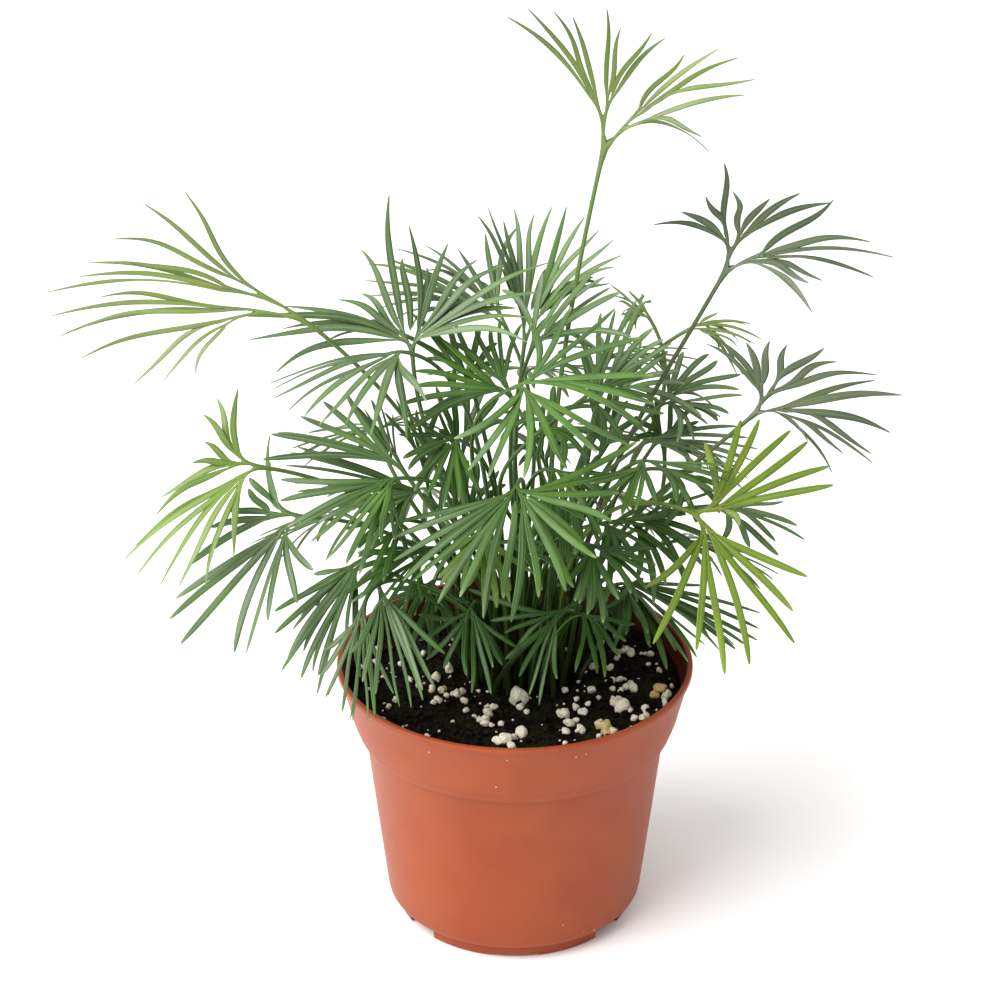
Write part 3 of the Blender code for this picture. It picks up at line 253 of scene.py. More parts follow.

# Fronds that the photograph shows: name, hub (where the fan forks first), marks along the fan's edge
# from its first blade to its last, number of blades, length of the first branches in mm, how upright
# the stipe arrives. The hub and the marks were read off the photograph: pixels across, pixels
# down, and how many mm behind the pot's axis they are judged to be.
FRONDS = [
    ("tall_top", (604.5, 146, 12),
     [(504, 17, 6), (527, 9, 7), (554, 10, 8), (565, 17, 9), (607, 8, 11), (613, 22, 12),
      (651, 31, 14), (667, 40, 14), (684, 55, 13), (703, 49, 12), (732, 55, 10), (752, 71, 7),
      (747, 95, 4), (703, 139, 0), (716, 148, -2)], 15, 8, .5),
    ("far_left", (300, 316, -5),
     [(185, 192, -2), (140, 203, -3), (110, 241, -6), (116, 267, -7), (81, 268, -8), (69, 281, -8),
      (46, 294, -9), (100, 301, -9), (47, 318, -10), (54, 336, -11), (78, 329, -12), (76, 359, -15),
      (132, 386, -18), (162, 385, -20), (195, 377, -22)], 15, 12, .45),
    ("left_lime", (256.5, 467, -22),
     [(237, 389, -14), (217, 396, -16), (202, 415, -19), (201, 449, -24), (190, 462, -26),
      (160, 496, -31), (154, 517, -36), (136, 550, -40), (122, 561, -42), (137, 577, -46),
      (158, 588, -50), (177, 591, -52), (199, 579, -51), (215, 569, -50), (235, 559, -48)], 15, 4, .4),
    ("left_dark", (298, 517, -24),
     [(266, 442, -8), (259, 464, -11), (248, 479, -15), (243, 494, -22), (224, 516, -26),
      (199, 542, -32), (188, 566, -34), (172, 598, -38), (169, 620, -42), (178, 646, -44),
      (233, 653, -49), (250, 648, -50), (267, 620, -50), (305, 598, -47), (315, 569, -44)], 15, 4.5, .4),
    ("upper_left_droop", (399, 351, -6),
     [(265, 390, -14), (281, 395, -18), (276, 413, -24), (300, 419, -30), (329, 430, -38),
      (351, 430, -41), (397, 440, -42), (425, 400, -30)], 10, 4, .4),
    ("upper_left_fan", (413, 345, 2),
     [(278, 371, -8), (233, 327, -2), (262, 309, 2), (344, 301, 6), (363, 287, 8), (387, 193, 10),
      (412, 234, 12), (466, 259, 14), (500, 262, 11), (554, 270, 6), (540, 305, -2),
      (523, 344, -10)], 16, 4, .5),
    ("back_top", (524, 338, 34),
     [(475, 208, 40), (504, 215, 50), (532, 206, 48), (577, 213, 48), (615, 234, 40),
      (615, 270, 30)], 12, 8, .5),
    ("back_left_top", (506, 325, 52),
     [(379, 294, 40), (362, 284, 48), (372, 257, 56), (400, 247, 64), (464, 250, 72),
      (520, 224, 76)], 10, 8, .5),
    ("centre_back", (533, 345, 16),
     [(500, 290, 30), (577, 280, 22), (597, 276, 18), (620, 283, 12), (640, 330, 0)], 8, 4.5, .5),
    ("main_centre", (520, 385, -30),
     [(454, 448, -48), (491, 482, -58), (579, 460, -62), (643, 437, -52), (657, 389, -38),
      (622, 310, -14), (530, 325, -8)], 14, 4, .4),
    ("centre_shadow", (510, 393, -4),
     [(405, 430, -24), (412, 385, -10), (432, 355, 0), (478, 330, 10), (505, 322, 14)], 11, 4, .5),
    ("front_centre", (516, 486, -44),
     [(640, 440, -32), (616, 505, -52), (566, 587, -70), (495, 617, -76), (445, 598, -72),
      (392, 575, -62), (396, 515, -46)], 16, 4, .4),
    ("left_mid_up", (399, 468, -20),
     [(262, 461, -28), (291, 423, -18), (332, 397, -12), (370, 398, -10), (386, 411, -8)], 11, 4, .4),
    ("left_mid_droop", (395, 478, -40),
     [(275, 488, -42), (293, 534, -54), (319, 552, -62), (342, 566, -66), (385, 543, -62),
      (402, 535, -52)], 12, 4, .4),
    ("left_inner", (424, 466, 4),
     [(384, 411, 10), (398, 402, 14), (412, 405, 16), (440, 415, 18)], 6, 4, .5),
    ("upper_right_dark", (726, 271, 14),
     [(653, 226, 8), (680, 212, 8), (706, 197, 10), (716, 163, 12), (734, 190, 14), (770, 200, 16),
      (800, 194, 18), (814, 200, 18), (835, 199, 18), (874, 242, 15), (897, 257, 8), (877, 260, 6),
      (817, 259, 2), (826, 274, 0), (813, 276, -4), (814, 306, -8)], 16, 6, .5),
    ("right_dark", (758, 411, -4),
     [(704, 342, 4), (709, 336, 5), (731, 340, 6), (753, 339, 7), (786, 346, 8), (824, 347, 8),
      (838, 362, 7), (862, 369, 6), (877, 376, 4), (901, 386, 0), (890, 434, -6), (873, 454, -12),
      (874, 463, -16), (845, 453, -18), (838, 466, -20), (808, 442, -22)], 16, 4, .4),
    ("pale_back_right", (690, 327, 44),
     [(718, 312, 52), (748, 319, 50), (760, 333, 44), (751, 346, 38), (722, 346, 34)], 8, 4, .4),
    ("pale_back_right_2", (652, 320, 42),
     [(642, 296, 48), (625, 290, 50), (612, 290, 46), (617, 303, 40), (628, 330, 32)], 8, 3.5, .4),
    ("right_upper", (662, 402, 22),
     [(655, 352, 32), (703, 356, 34), (740, 374, 30), (735, 402, 20), (708, 423, 10),
      (688, 438, 2)], 12, 4, .4),
    ("right_middle", (648, 443, 12),
     [(700, 420, 20), (736, 426, 16), (759, 441, 10), (750, 456, 2), (705, 472, -8)], 9, 4, .4),
    ("right_front", (642, 459, -24),
     [(594, 488, -38), (620, 508, -46), (640, 514, -50), (663, 500, -48), (700, 498, -42),
      (735, 475, -34), (745, 466, -26)], 12, 6, .4),
    ("right_lime", (696, 512, -34),
     [(702, 441, -24), (724, 425, -23), (759, 417, -22), (790, 429, -23), (809, 441, -24),
      (831, 466, -28), (836, 485, -32), (739, 527, -40), (808, 577, -48), (795, 612, -52),
      (797, 643, -60), (750, 666, -65), (726, 675, -67), (695, 652, -64), (653, 646, -62),
      (647, 586, -56)], 16, 4, 0),
    ("right_under", (717, 508, -14),
     [(782, 502, -12), (789, 513, -16), (807, 528, -20), (785, 532, -24), (779, 551, -28),
      (750, 547, -30), (720, 540, -28)], 7, 4, .3),
    ("low_right", (622, 583, 0),
     [(600, 612, -16), (634, 634, -24), (655, 632, -26), (690, 651, -26), (705, 646, -25),
      (722, 653, -23), (757, 644, -18), (755, 624, -10), (745, 602, -2), (700, 585, 4)], 12, 4, .4),
    ("right_inner", (600, 522, -14),
     [(660, 505, -2), (677, 534, -12), (666, 541, -20), (640, 560, -30), (606, 575, -36)], 9, 4, .4),
    ("right_inner_low", (590, 545, -34),
     [(650, 548, -34), (657, 572, -44), (626, 592, -50), (594, 612, -54), (562, 592, -50)], 8, 4.5, .4),
    ("inner_young", (480, 530, -36),
     [(430, 570, -46), (455, 583, -52), (478, 590, -56), (509, 597, -54), (530, 570, -46)], 7, 4, .4),
    ("inner_right_front", (505, 540, -24),
     [(548, 545, -28), (585, 538, -26), (580, 565, -36), (540, 585, -42)], 6, 3, .4),
    ("low_front_left", (472, 608, -22),
     [(415, 615, -22), (430, 660, -34), (464, 672, -40), (485, 707, -46), (497, 668, -40),
      (517, 647, -34)], 10, 4, .4),
    ("low_front_right", (560, 610, -22),
     [(480, 607, -18), (508, 640, -28), (516, 672, -36), (537, 700, -42), (558, 678, -40)], 9, 4, .4),
    ("low_front_edge", (583, 613, -18),
     [(575, 665, -34), (588, 678, -38), (615, 670, -34), (626, 637, -26), (640, 615, -16)], 7, 3, .4),
    ("low_left", (381, 592, -30),
     [(446, 654, -44), (431, 685, -50), (410, 712, -52), (388, 706, -52), (350, 650, -44)], 9, 4, .3),
    ("low_left_edge", (362, 606, -30),
     [(395, 695, -46), (376, 716, -50), (357, 726, -52), (340, 715, -50), (321, 698, -46),
      (322, 660, -38)], 11, 6, .3),
    ("low_left_dark", (362, 558, -10),
     [(305, 580, -12), (275, 614, -20), (283, 655, -30), (290, 684, -36), (322, 673, -38),
      (345, 640, -34)], 10, 4.5, .3),
    ("centre_right_up", (598, 402, 6),
     [(572, 330, 16), (603, 310, 14), (621, 305, 12), (636, 301, 10), (660, 332, 4),
      (655, 352, 0)], 8, 6, .5),
    ("right_upper_2", (618, 392, 26),
     [(617, 345, 32), (634, 346, 34), (656, 330, 32), (672, 352, 30), (675, 372, 24),
      (690, 395, 16)], 8, 4, .5),
    ("centre_low", (556, 470, -22),
     [(600, 455, -20), (612, 490, -34), (600, 545, -46), (565, 560, -50), (540, 545, -48),
      (520, 520, -40)], 9, 6, .4),
    ("left_centre", (455, 440, -14),
     [(405, 420, -14), (402, 452, -26), (420, 492, -38), (450, 505, -42), (480, 492, -38)], 9, 4, .4),
    ("left_mid", (418, 492, -14),
     [(300, 452, -20), (285, 470, -24), (290, 484, -28), (330, 505, -34), (380, 525, -38),
      (400, 530, -36)], 9, 4, .4),
    ("low_left_up", (428, 548, -20),
     [(352, 560, -26), (345, 590, -34), (375, 610, -38), (400, 605, -38), (420, 600, -34)], 9, 6, .4),
    ("right_mid_low", (628, 520, -10),
     [(716, 490, -4), (720, 505, -8), (705, 560, -18), (670, 580, -24), (640, 575, -24)], 9, 4.5, .4),
    ("centre_right", (585, 400, -6),
     [(552, 362, 4), (600, 350, 8), (650, 385, 4), (670, 410, 0), (640, 440, -8),
      (600, 455, -14)], 9, 4, .4),
    ("centre_left_high", (470, 380, 0),
     [(400, 345, 0), (410, 325, 6), (440, 310, 10), (475, 320, 10), (500, 345, 6)], 9, 3, .5),
    ("centre_mid", (545, 430, -20),
     [(570, 470, -30), (600, 450, -24), (610, 430, -16), (560, 385, -4), (520, 400, -10),
      (500, 440, -24)], 9, 4, .4),
    ("right_mid", (672, 470, -4),
     [(700, 455, 4), (720, 480, 0), (715, 510, -10), (680, 520, -14), (655, 515, -14)], 8, 6, .4),
    ("left_low_fill", (400, 520, -18),
     [(370, 495, -14), (350, 520, -24), (365, 560, -32), (395, 575, -34), (415, 560, -28)], 8, 4, .4),
    ("left_behind", (462, 455, 18),
     [(425, 470, 8), (420, 430, 14), (432, 390, 22), (452, 368, 28), (474, 362, 30), (492, 380, 26),
      (502, 415, 18)], 9, 4, .5),
    ("low_left_behind", (432, 582, 2),
     [(388, 588, 0), (384, 610, -8), (404, 628, -14), (430, 634, -17), (456, 626, -14),
      (474, 604, -8)], 8, 4.5, .4),
]
# Fronds on the side that the photograph doesn't show, as above but with x, y and z in mm
HIDDEN_FRONDS = [
    ("back_left", (-42, 48, 138),
     [(-68, 40, 132), (-66, 68, 128), (-46, 84, 124), (-22, 80, 130), (-14, 60, 142)], 9, 4, .4),
    ("back_middle", (4, 72, 148),
     [(-30, 86, 140), (-10, 104, 132), (14, 108, 130), (38, 92, 138), (36, 66, 150)], 9, 4, .4),
    ("back_right", (44, 52, 132),
     [(70, 36, 124), (74, 60, 120), (56, 82, 116), (30, 84, 120), (20, 66, 132)], 9, 4, .4),
    ("back_low_left", (-28, 60, 112),
     [(-58, 64, 100), (-50, 86, 94), (-28, 96, 90), (-6, 90, 96)], 8, 4, .4),
    ("back_low_right", (26, 66, 110),
     [(50, 60, 98), (52, 84, 92), (30, 98, 90), (8, 96, 94)], 8, 4, .4),
    ("back_high_right", (28, 52, 160),
     [(54, 40, 162), (56, 66, 158), (38, 84, 152), (14, 84, 156), (8, 64, 168)], 9, 4, .4),
    ("side_left_back", (-52, 26, 120),
     [(-82, 10, 112), (-80, 34, 108), (-66, 54, 104), (-44, 58, 106)], 9, 4, .4),
    ("side_right_back", (50, 24, 112),
     [(80, 12, 104), (78, 36, 100), (62, 54, 96), (42, 56, 100)], 9, 4, .4),
]

# Small fans deep in the crown, which fill the spaces between the stipes and which the solids leave out:
# name, hub and marks as above. They share their number of blades, first branches and lift.
SHOOT_HABIT = (8, 3, 0.5)
SHOOTS = [
    ("shoot_low_left", (500, 592, 26),
     [(458, 588, 28), (462, 612, 22), (488, 630, 18), (515, 626, 18), (540, 600, 24)]),
    ("shoot_low_middle", (556, 588, 30),
     [(520, 572, 34), (528, 610, 26), (556, 624, 22), (585, 614, 24), (592, 576, 32)]),
    ("shoot_low_right", (612, 586, 26),
     [(580, 570, 32), (590, 610, 22), (615, 624, 18), (640, 610, 20), (645, 578, 26)]),
    ("shoot_low_edge", (430, 596, 24),
     [(404, 570, 26), (398, 600, 20), (424, 618, 16), (450, 612, 18), (462, 586, 24)]),
    ("shoot_low_back", (600, 604, 36),
     [(572, 594, 40), (578, 620, 32), (600, 632, 30), (622, 624, 30), (634, 598, 38)]),
    ("shoot_left", (468, 520, 22),
     [(438, 505, 26), (444, 472, 28), (470, 458, 30), (496, 470, 28), (506, 505, 22)]),
    ("shoot_middle", (544, 462, 24),
     [(512, 448, 26), (522, 414, 32), (546, 400, 34), (572, 416, 30), (582, 450, 24)]),
    ("shoot_right", (606, 448, 20),
     [(578, 430, 22), (586, 402, 28), (608, 388, 30), (632, 402, 26), (642, 434, 20)]),
    ("shoot_outer", (664, 446, 24),
     [(634, 436, 24), (642, 408, 28), (664, 396, 30), (686, 408, 28), (694, 438, 24)]),
]

# Finer sections of the fronds, in mm. Each form is how high the edges, the top and the keel stand over
# the middle of a section, before the Subdivision draws its corners in to DRAWN_IN of their distance.
DRAWN_IN = 0.75
STIPE_FORM = (0.0, 1.15, -1.15)
WING_FORM = (0.25, 0.3, -0.8)
BLADE_FORM = (0.3, 0.05, -0.7)
# Sections of a stipe, and how much wider it is at its foot and narrower at its hub
STIPE_RINGS = 16
STIPE_SWELL = 0.15
STIPE_TAPER = 0.22
WING_WIDTH = 2.2
WING_SHARE_OF_SPACE = 1.25
# Outlines of the blades, as how far along and what share of the full width: straps in the mature fans,
# and slender ones that run out into a long point
STRAP = ((0.04, 0.66), (0.09, 0.84), (0.17, 0.96), (0.28, 1.0), (0.4, 1.0), (0.52, 1.0), (0.64, 0.98),
         (0.75, 0.93), (0.84, 0.83), (0.91, 0.66), (0.96, 0.45), (0.985, 0.26))
SLENDER = ((0.05, 0.75), (0.12, 0.86), (0.22, 0.96), (0.34, 1.0), (0.45, 1.0), (0.55, 0.95), (0.65, 0.85),
           (0.74, 0.7), (0.82, 0.54), (0.89, 0.38), (0.94, 0.27), (0.98, 0.17))
# How much wider than its plan a blade is drawn: in most fans, and in the broad, slender and sparse ones.
# The slender fans are those of SLIM_BLADES.
STRAP_FULLER = 1.0
BROAD_FULLER = 1.1
SLENDER_FULLER = 1.45
SPARSE_FULLER = 0.85
BROAD_FANS = ("front_centre", "main_centre", "left_dark", "right_front", "right_lime")
SPARSE_FANS = ("low_left", "low_left_edge", "low_front_left", "low_front_right", "low_front_edge")
# A blade's depth falls to this share of the full one as its width falls to nothing
LEAST_DEPTH = 0.4
# A blade's twist in radians, its sway to a side in mm and its bow upwards as a share of its length
BLADE_TWIST = 0.4
BLADE_SWAY = 0.4
SLENDER_SWAY = 1.1
SLENDER_BOW = 0.035
# Full fans have their forks drawn in to this share of their distance from the hub
GATHERED = 0.6
# Fans with nothing under the spaces between their blades
OPEN_FANS = ("main_centre", "low_left", "low_left_edge", "low_front_left", "low_front_right",
             "low_front_edge", "right_front", "upper_left_droop", "left_mid_droop")
# Blades under the other fans: the least space that holds one, the share of such spaces that do, their
# reach as a share of their neighbours', how far they drop, and their least gap to the other fronds
UNDER_LEAST_SPACING = 3.5
UNDER_SHARE = 0.75
UNDER_REACH = (0.6, 0.9)
UNDER_DROP = (4.0, 12.0)
UNDER_GAP = 0.3
# Streaks across and along a blade, how far apart two blades lie in their pattern, and its weight
STREAKS_ACROSS = 4.0
STREAKS_ALONG = 1.5
BLADES_APART = 40.0
STREAK_WEIGHT = 2.6
# Sum of tone, mottling and streaks at which a blade is darkest and lightest
DARK_TO_LIGHT = (1.5, 3.2)
# Size of the mottling and of the patches of painted glow, in mm
LEAF_MOTTLE = 9.0
PAINTED_GLOW_SIZE = 24.0
# Where on a blade a point lies and how light the blade is, kept on each point for the material
LEAF_LAYERS = ("across", "upper", "along", "tone")
# How much of a blade's tone is its frond's, and the tone of stipes and forks
FROND_TONE_SHARE = 0.4
PLAIN_TONE = 0.5

# Leaf finishes, as dark and light blade, midrib, edge, underside, stipe, the painted shade of blades deep
# in the plant, and the colour of light that comes through a blade, which is also painted on as a glow in
# patches
LEAF_SHADES = {
    "mature_leaf": "#1C360A #66844A #708C52 #88A270 #4A701E #46601E #224A06 #70A41C",
    # The finish below is the mature green made paler and greyer, as painted sheen
    "painted_sheen_leaf": "#3F5A2E #798C66 #8A9C78 #9AAA8A #5C7840 #566E3C #386216 #74A03C",
    "grey_green_leaf": "#4A5642 #767E66 #7E8872 #909A84 #5E6C4C #526038 #425032 #6C8450",
    "lime_leaf": "#5E7C30 #82925A #94A46C #A6B280 #6A8644 #62783A #4E741E #88AA3C",
    "yellow_green_leaf": "#5E7C1E #7E8C3A #94A24C #A4AE66 #64823A #667630 #4A6E12 #94B426",
    "olive_lime_leaf": "#587038 #868F60 #909C6C #9CA67E #688044 #5C783A #507220 #90A848",
}
LEAF_TRANSLUCENCE = 0.25
RANGE_INPUTS = ("Value", "From Min", "From Max", "To Min", "To Max")
# Fronds of each finish other than mature_leaf
FRONDS_OF = {
    "olive_lime_leaf": ("tall_top", "far_left"),
    "lime_leaf": ("left_lime", "inner_young", "pale_back_right", "pale_back_right_2"),
    "yellow_green_leaf": ("right_lime",),
    "grey_green_leaf": ("upper_right_dark", "right_dark"),
    # The fronds below get the finish with painted sheen: the mature green made paler and greyer
    "painted_sheen_leaf": ("centre_right_up", "back_top", "back_left_top", "centre_back", "upper_left_fan",
                        "upper_left_droop", "left_dark", "low_left_dark", "low_left", "low_left_edge",
                        "right_upper", "left_mid_up", "left_mid", "right_upper_2", "right_middle",
                        "right_under"),
}
YOUNG = ("tall_top", "far_left", "left_lime", "right_lime", "inner_young", "pale_back_right",
         "pale_back_right_2", "centre_right_up")
STIPE_FOOT = "#2E2E14"
PALE_TIP = "#A2AC7C"
DRIED_TIP = "#8A6C36"
# Middle of the painted shade deep in the plant, in metres
PAINTED_SHADE_MIDDLE = (0.0, -0.005, 0.115)

# Studio, in metres and watts
FLOOR_SIZE = 4.0
SURROUND_STRENGTH = 0.82
LAMP_PLACE = Vector((-0.85, -0.5, 1.05))
LAMP_AIM = Vector((0, 0, 0.12))
LAMP_SIZE = 1.5
LAMP_POWER = 27.0
CAMERA_SEES = (0.05, 20)


def sight(across, down):
    """The direction in which the photograph shows a pixel."""
    aside = (across - PICTURE_MIDDLE) / FOCAL_PIXELS
    rise = (PICTURE_MIDDLE - down) / FOCAL_PIXELS
    ahead = math.cos(CAMERA_DOWN) + rise * math.sin(CAMERA_DOWN)
    return np.array([aside, ahead, rise * math.cos(CAMERA_DOWN) - math.sin(CAMERA_DOWN)])


def seen_at(across, down, behind):
    """The place seen at a pixel, so far behind the pot's axis, to the nearest mm."""
    way = sight(across, down)
    return np.round(CAMERA + way * (behind - CAMERA[1]) / way[1])


def seen_on_mix(across, down):
    """The x and y of the grain seen at a pixel, to the nearest mm."""
    way = sight(across, down)
    return np.round(CAMERA + way * (MIX_TOP + GRAIN_SEEN - CAMERA[2]) / way[2])[:2]


def seen_on_wall(across, down):
    """The place where the sight line of a pixel meets the pot's wall."""
    radii, heights = np.array(POT_OUTSIDE).T
    way = unit(sight(across, down))
    for far in np.arange(*WALL_SEARCH):
        here = CAMERA + way * far
        if math.hypot(here[0], here[1]) < np.interp(here[2], heights, radii):
            break
    return here


def unit(v):
    return v / max(np.linalg.norm(v), 1e-9)


def turned(a, b, fraction):
    """The direction part of the way round from a to b."""
    angle = math.acos(min(1.0, max(-1.0, float(a @ b))))
    if angle < 1e-6:
        return a
    return unit(a * math.sin((1 - fraction) * angle) + b * math.sin(fraction * angle))


def curve(knots, t):
    """The point of a Bezier curve at the fraction t."""
    points = [np.asarray(k, float) for k in knots]
    while len(points) > 1:
        points = [a * (1 - t) + b * t for a, b in zip(points, points[1:])]
    return points[0]


def heading_at(knots, t):
    return unit(curve(knots, min(1.0, t + NUDGE)) - curve(knots, max(0.0, t - NUDGE)))


def crown_places(count):
    """Places for the stipes, evenly packed on a spiral."""
    places = []
    for i in range(count):
        r = PLACE_PITCH * math.sqrt(i + 0.5)
        a = math.radians(GOLDEN_ANGLE * i)
        places.append(CROWN + r * np.array([math.cos(a), math.sin(a)]))
    return places


def take_place(hub, places):
    """The free place nearest to where a stipe that leans towards its hub would stand."""
    away = np.array(hub[:2], float) - CROWN
    reach = np.linalg.norm(away)
    wanted = CROWN + away / max(reach, 1e-9) * min(LEAN_LIMIT, LEAN_TO_HUB * reach)
    nearest = min(range(len(places)), key=lambda i: np.linalg.norm(places[i] - wanted))
    return places.pop(nearest)


def blade_tips(hub, marks, count, rng):
    """Tips spread along the fan's edge, with a slightly ragged reach."""
    ragged = RAGGED if count > len(marks) else 0
    reach = [np.asarray(m, float) - hub for m in marks]
    tips = []
    for a in np.linspace(0, len(marks) - 1, count):
        i = min(int(a), len(marks) - 2)
        f = a - i
        length = np.linalg.norm(reach[i]) * (1 - f) + np.linalg.norm(reach[i + 1]) * f
        way = turned(unit(reach[i]), unit(reach[i + 1]), f)
        tips.append(hub + way * length * (1 + rng.uniform(-ragged, ragged)))
    return tips


def plan_frond(row, places, index):
    """The stipe, the branches and the blades of one frond, as points in mm."""
    name, hub, marks, count, first_fork, lift = row
    rng = random.Random(name)
    hub = np.asarray(hub, float)
    tips = blade_tips(hub, marks, count, rng)
    facing = sum(np.cross(b - a, a - hub) for a, b in zip(tips, tips[1:]))
    if facing[2] < 0:
        tips.reverse()
    middle = unit(sum(t - hub for t in tips))
    arrive = unit(middle * (1 - lift) + UP * lift)
    place = take_place(hub, places)
    base = np.array([place[0], place[1], STIPE_FREE])
    rise = np.linalg.norm(hub - base)
    half = (count + 1) // 2
    widest = SLIM_BLADES.get(name, BLADE_WIDEST)
    frond = {
        "name": name, "index": index, "base": base, "blades": [], "branches": [],
        "stipe": [base, base + UP * rise * STIPE_KNOTS[0], hub - arrive * rise * STIPE_KNOTS[1], hub],
        "spans": min(SPAN_COUNTS[1], max(SPAN_COUNTS[0], round(rise / SPAN_LENGTH))),
        "filled": count > len(marks), "slender": name in SLIM_BLADES, "widest": widest,
        "side": unit(sum(tips[half:]) / (count - half) - sum(tips[:half]) / half),
    }

    def side_of(i):
        return unit(tips[min(i + 1, count - 1)] - tips[max(i - 1, 0)])

    def split(end, heading, side, first, last, step):
        """Two children at a fork: each is a blade, or a branch that forks again."""
        children = []
        mid = (first + last + 1) // 2
        for sign, lo, hi in ((-1, first, mid), (1, mid, last)):
            start = end + side * sign * BRANCH_WIDTH / 4
            aim = unit(sum(tips[lo:hi]) / (hi - lo) - start)
            if hi - lo == 1:
                length = np.linalg.norm(tips[lo] - start)
                spacing = np.linalg.norm(tips[min(lo + 1, count - 1)] - tips[max(lo - 1, 0)]) / 2
                spacing *= 2 if lo in (0, count - 1) else 1
                along, ahead, upwards = BLADE_HEADING
                leave = unit(heading * along + aim * ahead + UP * upwards)
                child = {
                    "kind": "blade", "start": start, "tip": tips[lo], "side": side_of(lo),
                    "width": min(widest, max(BLADE_NARROWEST, WIDTH_TO_SPACING * spacing)),
                    "ctrl": start + leave * length * BLADE_KNOT,
                }
                frond["blades"].append(child)
            else:
                to = unit(aim * BRANCH_HEADING[0] + heading * BRANCH_HEADING[1])
                child = {"kind": "branch", "start": start, "end": start + to * step, "heading": to}
                child["side"] = unit(sum(side_of(i) for i in range(lo, hi)))
                frond["branches"].append(child)
                child["children"] = split(child["end"], to, child["side"], lo, hi,
                                          step * BRANCH_SHORTENS)
            children.append(child)
        return children

    frond["children"] = split(hub, arrive, frond["side"], 0, count, first_fork)
    return frond


def chain_of(blade):
    knots = [blade["start"], blade["ctrl"], blade["tip"]]
    return np.array([curve(knots, t) for t in ROD_ENDS])


def blade_radii(blade):
    return np.array(ROD_RADII) * blade["width"]


def outer_radii(blade):
    """Radii of a blade past its root, where it narrows to pass between its own neighbours."""
    return np.array([0.5 * BRANCH_LEAST, ROD_RADII[-1] * blade["width"]])


def segment_gaps(p, q, r, s):
    """The least distance between each segment p-q and each segment r-s."""
    d1 = (q - p)[:, None, :]
    d2 = (s - r)[None, :, :]
    w = p[:, None, :] - r[None, :, :]
    a = (d1 * d1).sum(-1)
    e = (d2 * d2).sum(-1)
    f = (d2 * w).sum(-1)
    c = (d1 * w).sum(-1)
    b = (d1 * d2).sum(-1)
    u = np.clip((b * f - c * e) / np.maximum(a * e - b * b, 1e-9), 0, 1)
    v = np.clip((b * u + f) / np.maximum(e, 1e-9), 0, 1)
    u = np.clip((b * v - c) / np.maximum(a, 1e-9), 0, 1)
    return np.linalg.norm(w + u[..., None] * d1 - v[..., None] * d2, axis=-1)


class Room:
    """Round-ended rods that stand for everything placed so far."""

    def __init__(self):
        self.starts = []
        self.ends = []
        self.radii = []
        self.owners = []
        self.table = None

    def add(self, points, radii, owner):
        for start, end, radius in zip(points, points[1:], radii):
            self.starts.append(start)
            self.ends.append(end)
            self.radii.append(radius)
            self.owners.append(owner)
        self.table = None

    def near(self, low, high, owner, own):
        """The rods inside a box, of the owner itself or of all others."""
        if self.table is None:
            self.table = [np.array(x) for x in (self.starts, self.ends, self.radii, self.owners)]
        starts, ends, radii, owners = self.table
        inside = (np.minimum(starts, ends) < high).all(1) & (np.maximum(starts, ends) > low).all(1)
        inside &= (owners == owner) if own else (owners != owner)
        return starts[inside], ends[inside], radii[inside]


def gap_of(points, radii, rods):
    if len(rods[0]) == 0:
        return NOTHING_NEAR
    distance = segment_gaps(points[:-1], points[1:], rods[0], rods[1])
    return float((distance - np.asarray(radii)[:, None] - rods[2][None, :]).min())


def settle_stipe(frond, room):
    """Bend a stipe sideways until it clears the others."""
    best = None
    stipe = frond["stipe"]
    count = frond["spans"]
    low = np.minimum(stipe[0], stipe[3]) - REACH
    high = np.maximum(stipe[0], stipe[3]) + REACH
    rods = room.near(low, high, frond["index"], False)
    tries = [(reach, turn * 2 * math.pi / STIPE_TURNS, low_part, high_part)
             for reach in STIPE_SHIFTS for turn in range(STIPE_TURNS if reach else 1)
             for low_part, high_part in STIPE_BENDS]
    for reach, angle, low_part, high_part in tries:
        shift = reach * np.array([math.cos(angle), math.sin(angle), 0.0])
        knots = [stipe[0], stipe[1] + shift * low_part, stipe[2] + shift * high_part, stipe[3]]
        points = np.array([curve(knots, i / count) for i in range(count + 1)])
        gap = gap_of(points, [0.5 * STIPE_WIDTH] * count, rods)
        if best is None or gap > best[0]:
            best = (gap, knots, points)
        if gap >= GAP:
            break
    frond["stipe"] = best[1]
    room.add(best[2], [0.5 * STIPE_WIDTH] * (len(best[2]) - 1), frond["index"])


def settle_blade(blade, frond, room):
    """Bend or shorten a blade until it clears the other fronds and its own neighbours."""
    start, ctrl, tip, side = (blade[k] for k in ("start", "ctrl", "tip", "side"))
    normal = unit(np.cross(side, tip - start))
    low = np.minimum(start, tip) - REACH
    high = np.maximum(start, tip) + REACH
    others = room.near(low, high, frond["index"], False)
    own = room.near(low, high, -2 - frond["index"], True)
    tries = [(abs(a) + abs(b) + (1 - cut) * CUT_COST, a, b, cut)
             for a in BLADE_SHIFTS for b in BLADE_SHIFTS for cut in BLADE_CUTS]
    best = None
    for _, across, along, cut in sorted(tries):
        shift = normal * across + side * along
        trial = dict(blade)
        trial["tip"] = start + (tip + shift - start) * cut
        trial["ctrl"] = start + (ctrl + shift * KNOT_FOLLOWS - start) * cut
        points = chain_of(trial)
        radii = blade_radii(trial)
        own_gap = gap_of(points[1:], outer_radii(trial), own)
        gap = min(gap_of(points, radii, others), own_gap + GAP - OWN_GAP)
        if best is None or gap > best[0]:
            best = (gap, trial, points, radii)
        if gap >= GAP:
            break
    blade.update(best[1])
    blade["clear"] = best[0] > OWN_GAP
    if blade["clear"]:
        room.add(best[2], best[3], frond["index"])
        room.add(best[2][1:], outer_radii(blade), -2 - frond["index"])


def settle(fronds, room):
    """Place branches, then stipes, then blades, each clear of what is there already."""
    for frond in fronds:
        for branch in frond["branches"]:
            points = np.array([branch["start"], branch["end"]])
            room.add(points, [0.5 * BRANCH_WIDTH], frond["index"])
    for frond in fronds:
        settle_stipe(frond, room)
    for frond in fronds:
        for blade in frond["blades"]:
            settle_blade(blade, frond, room)


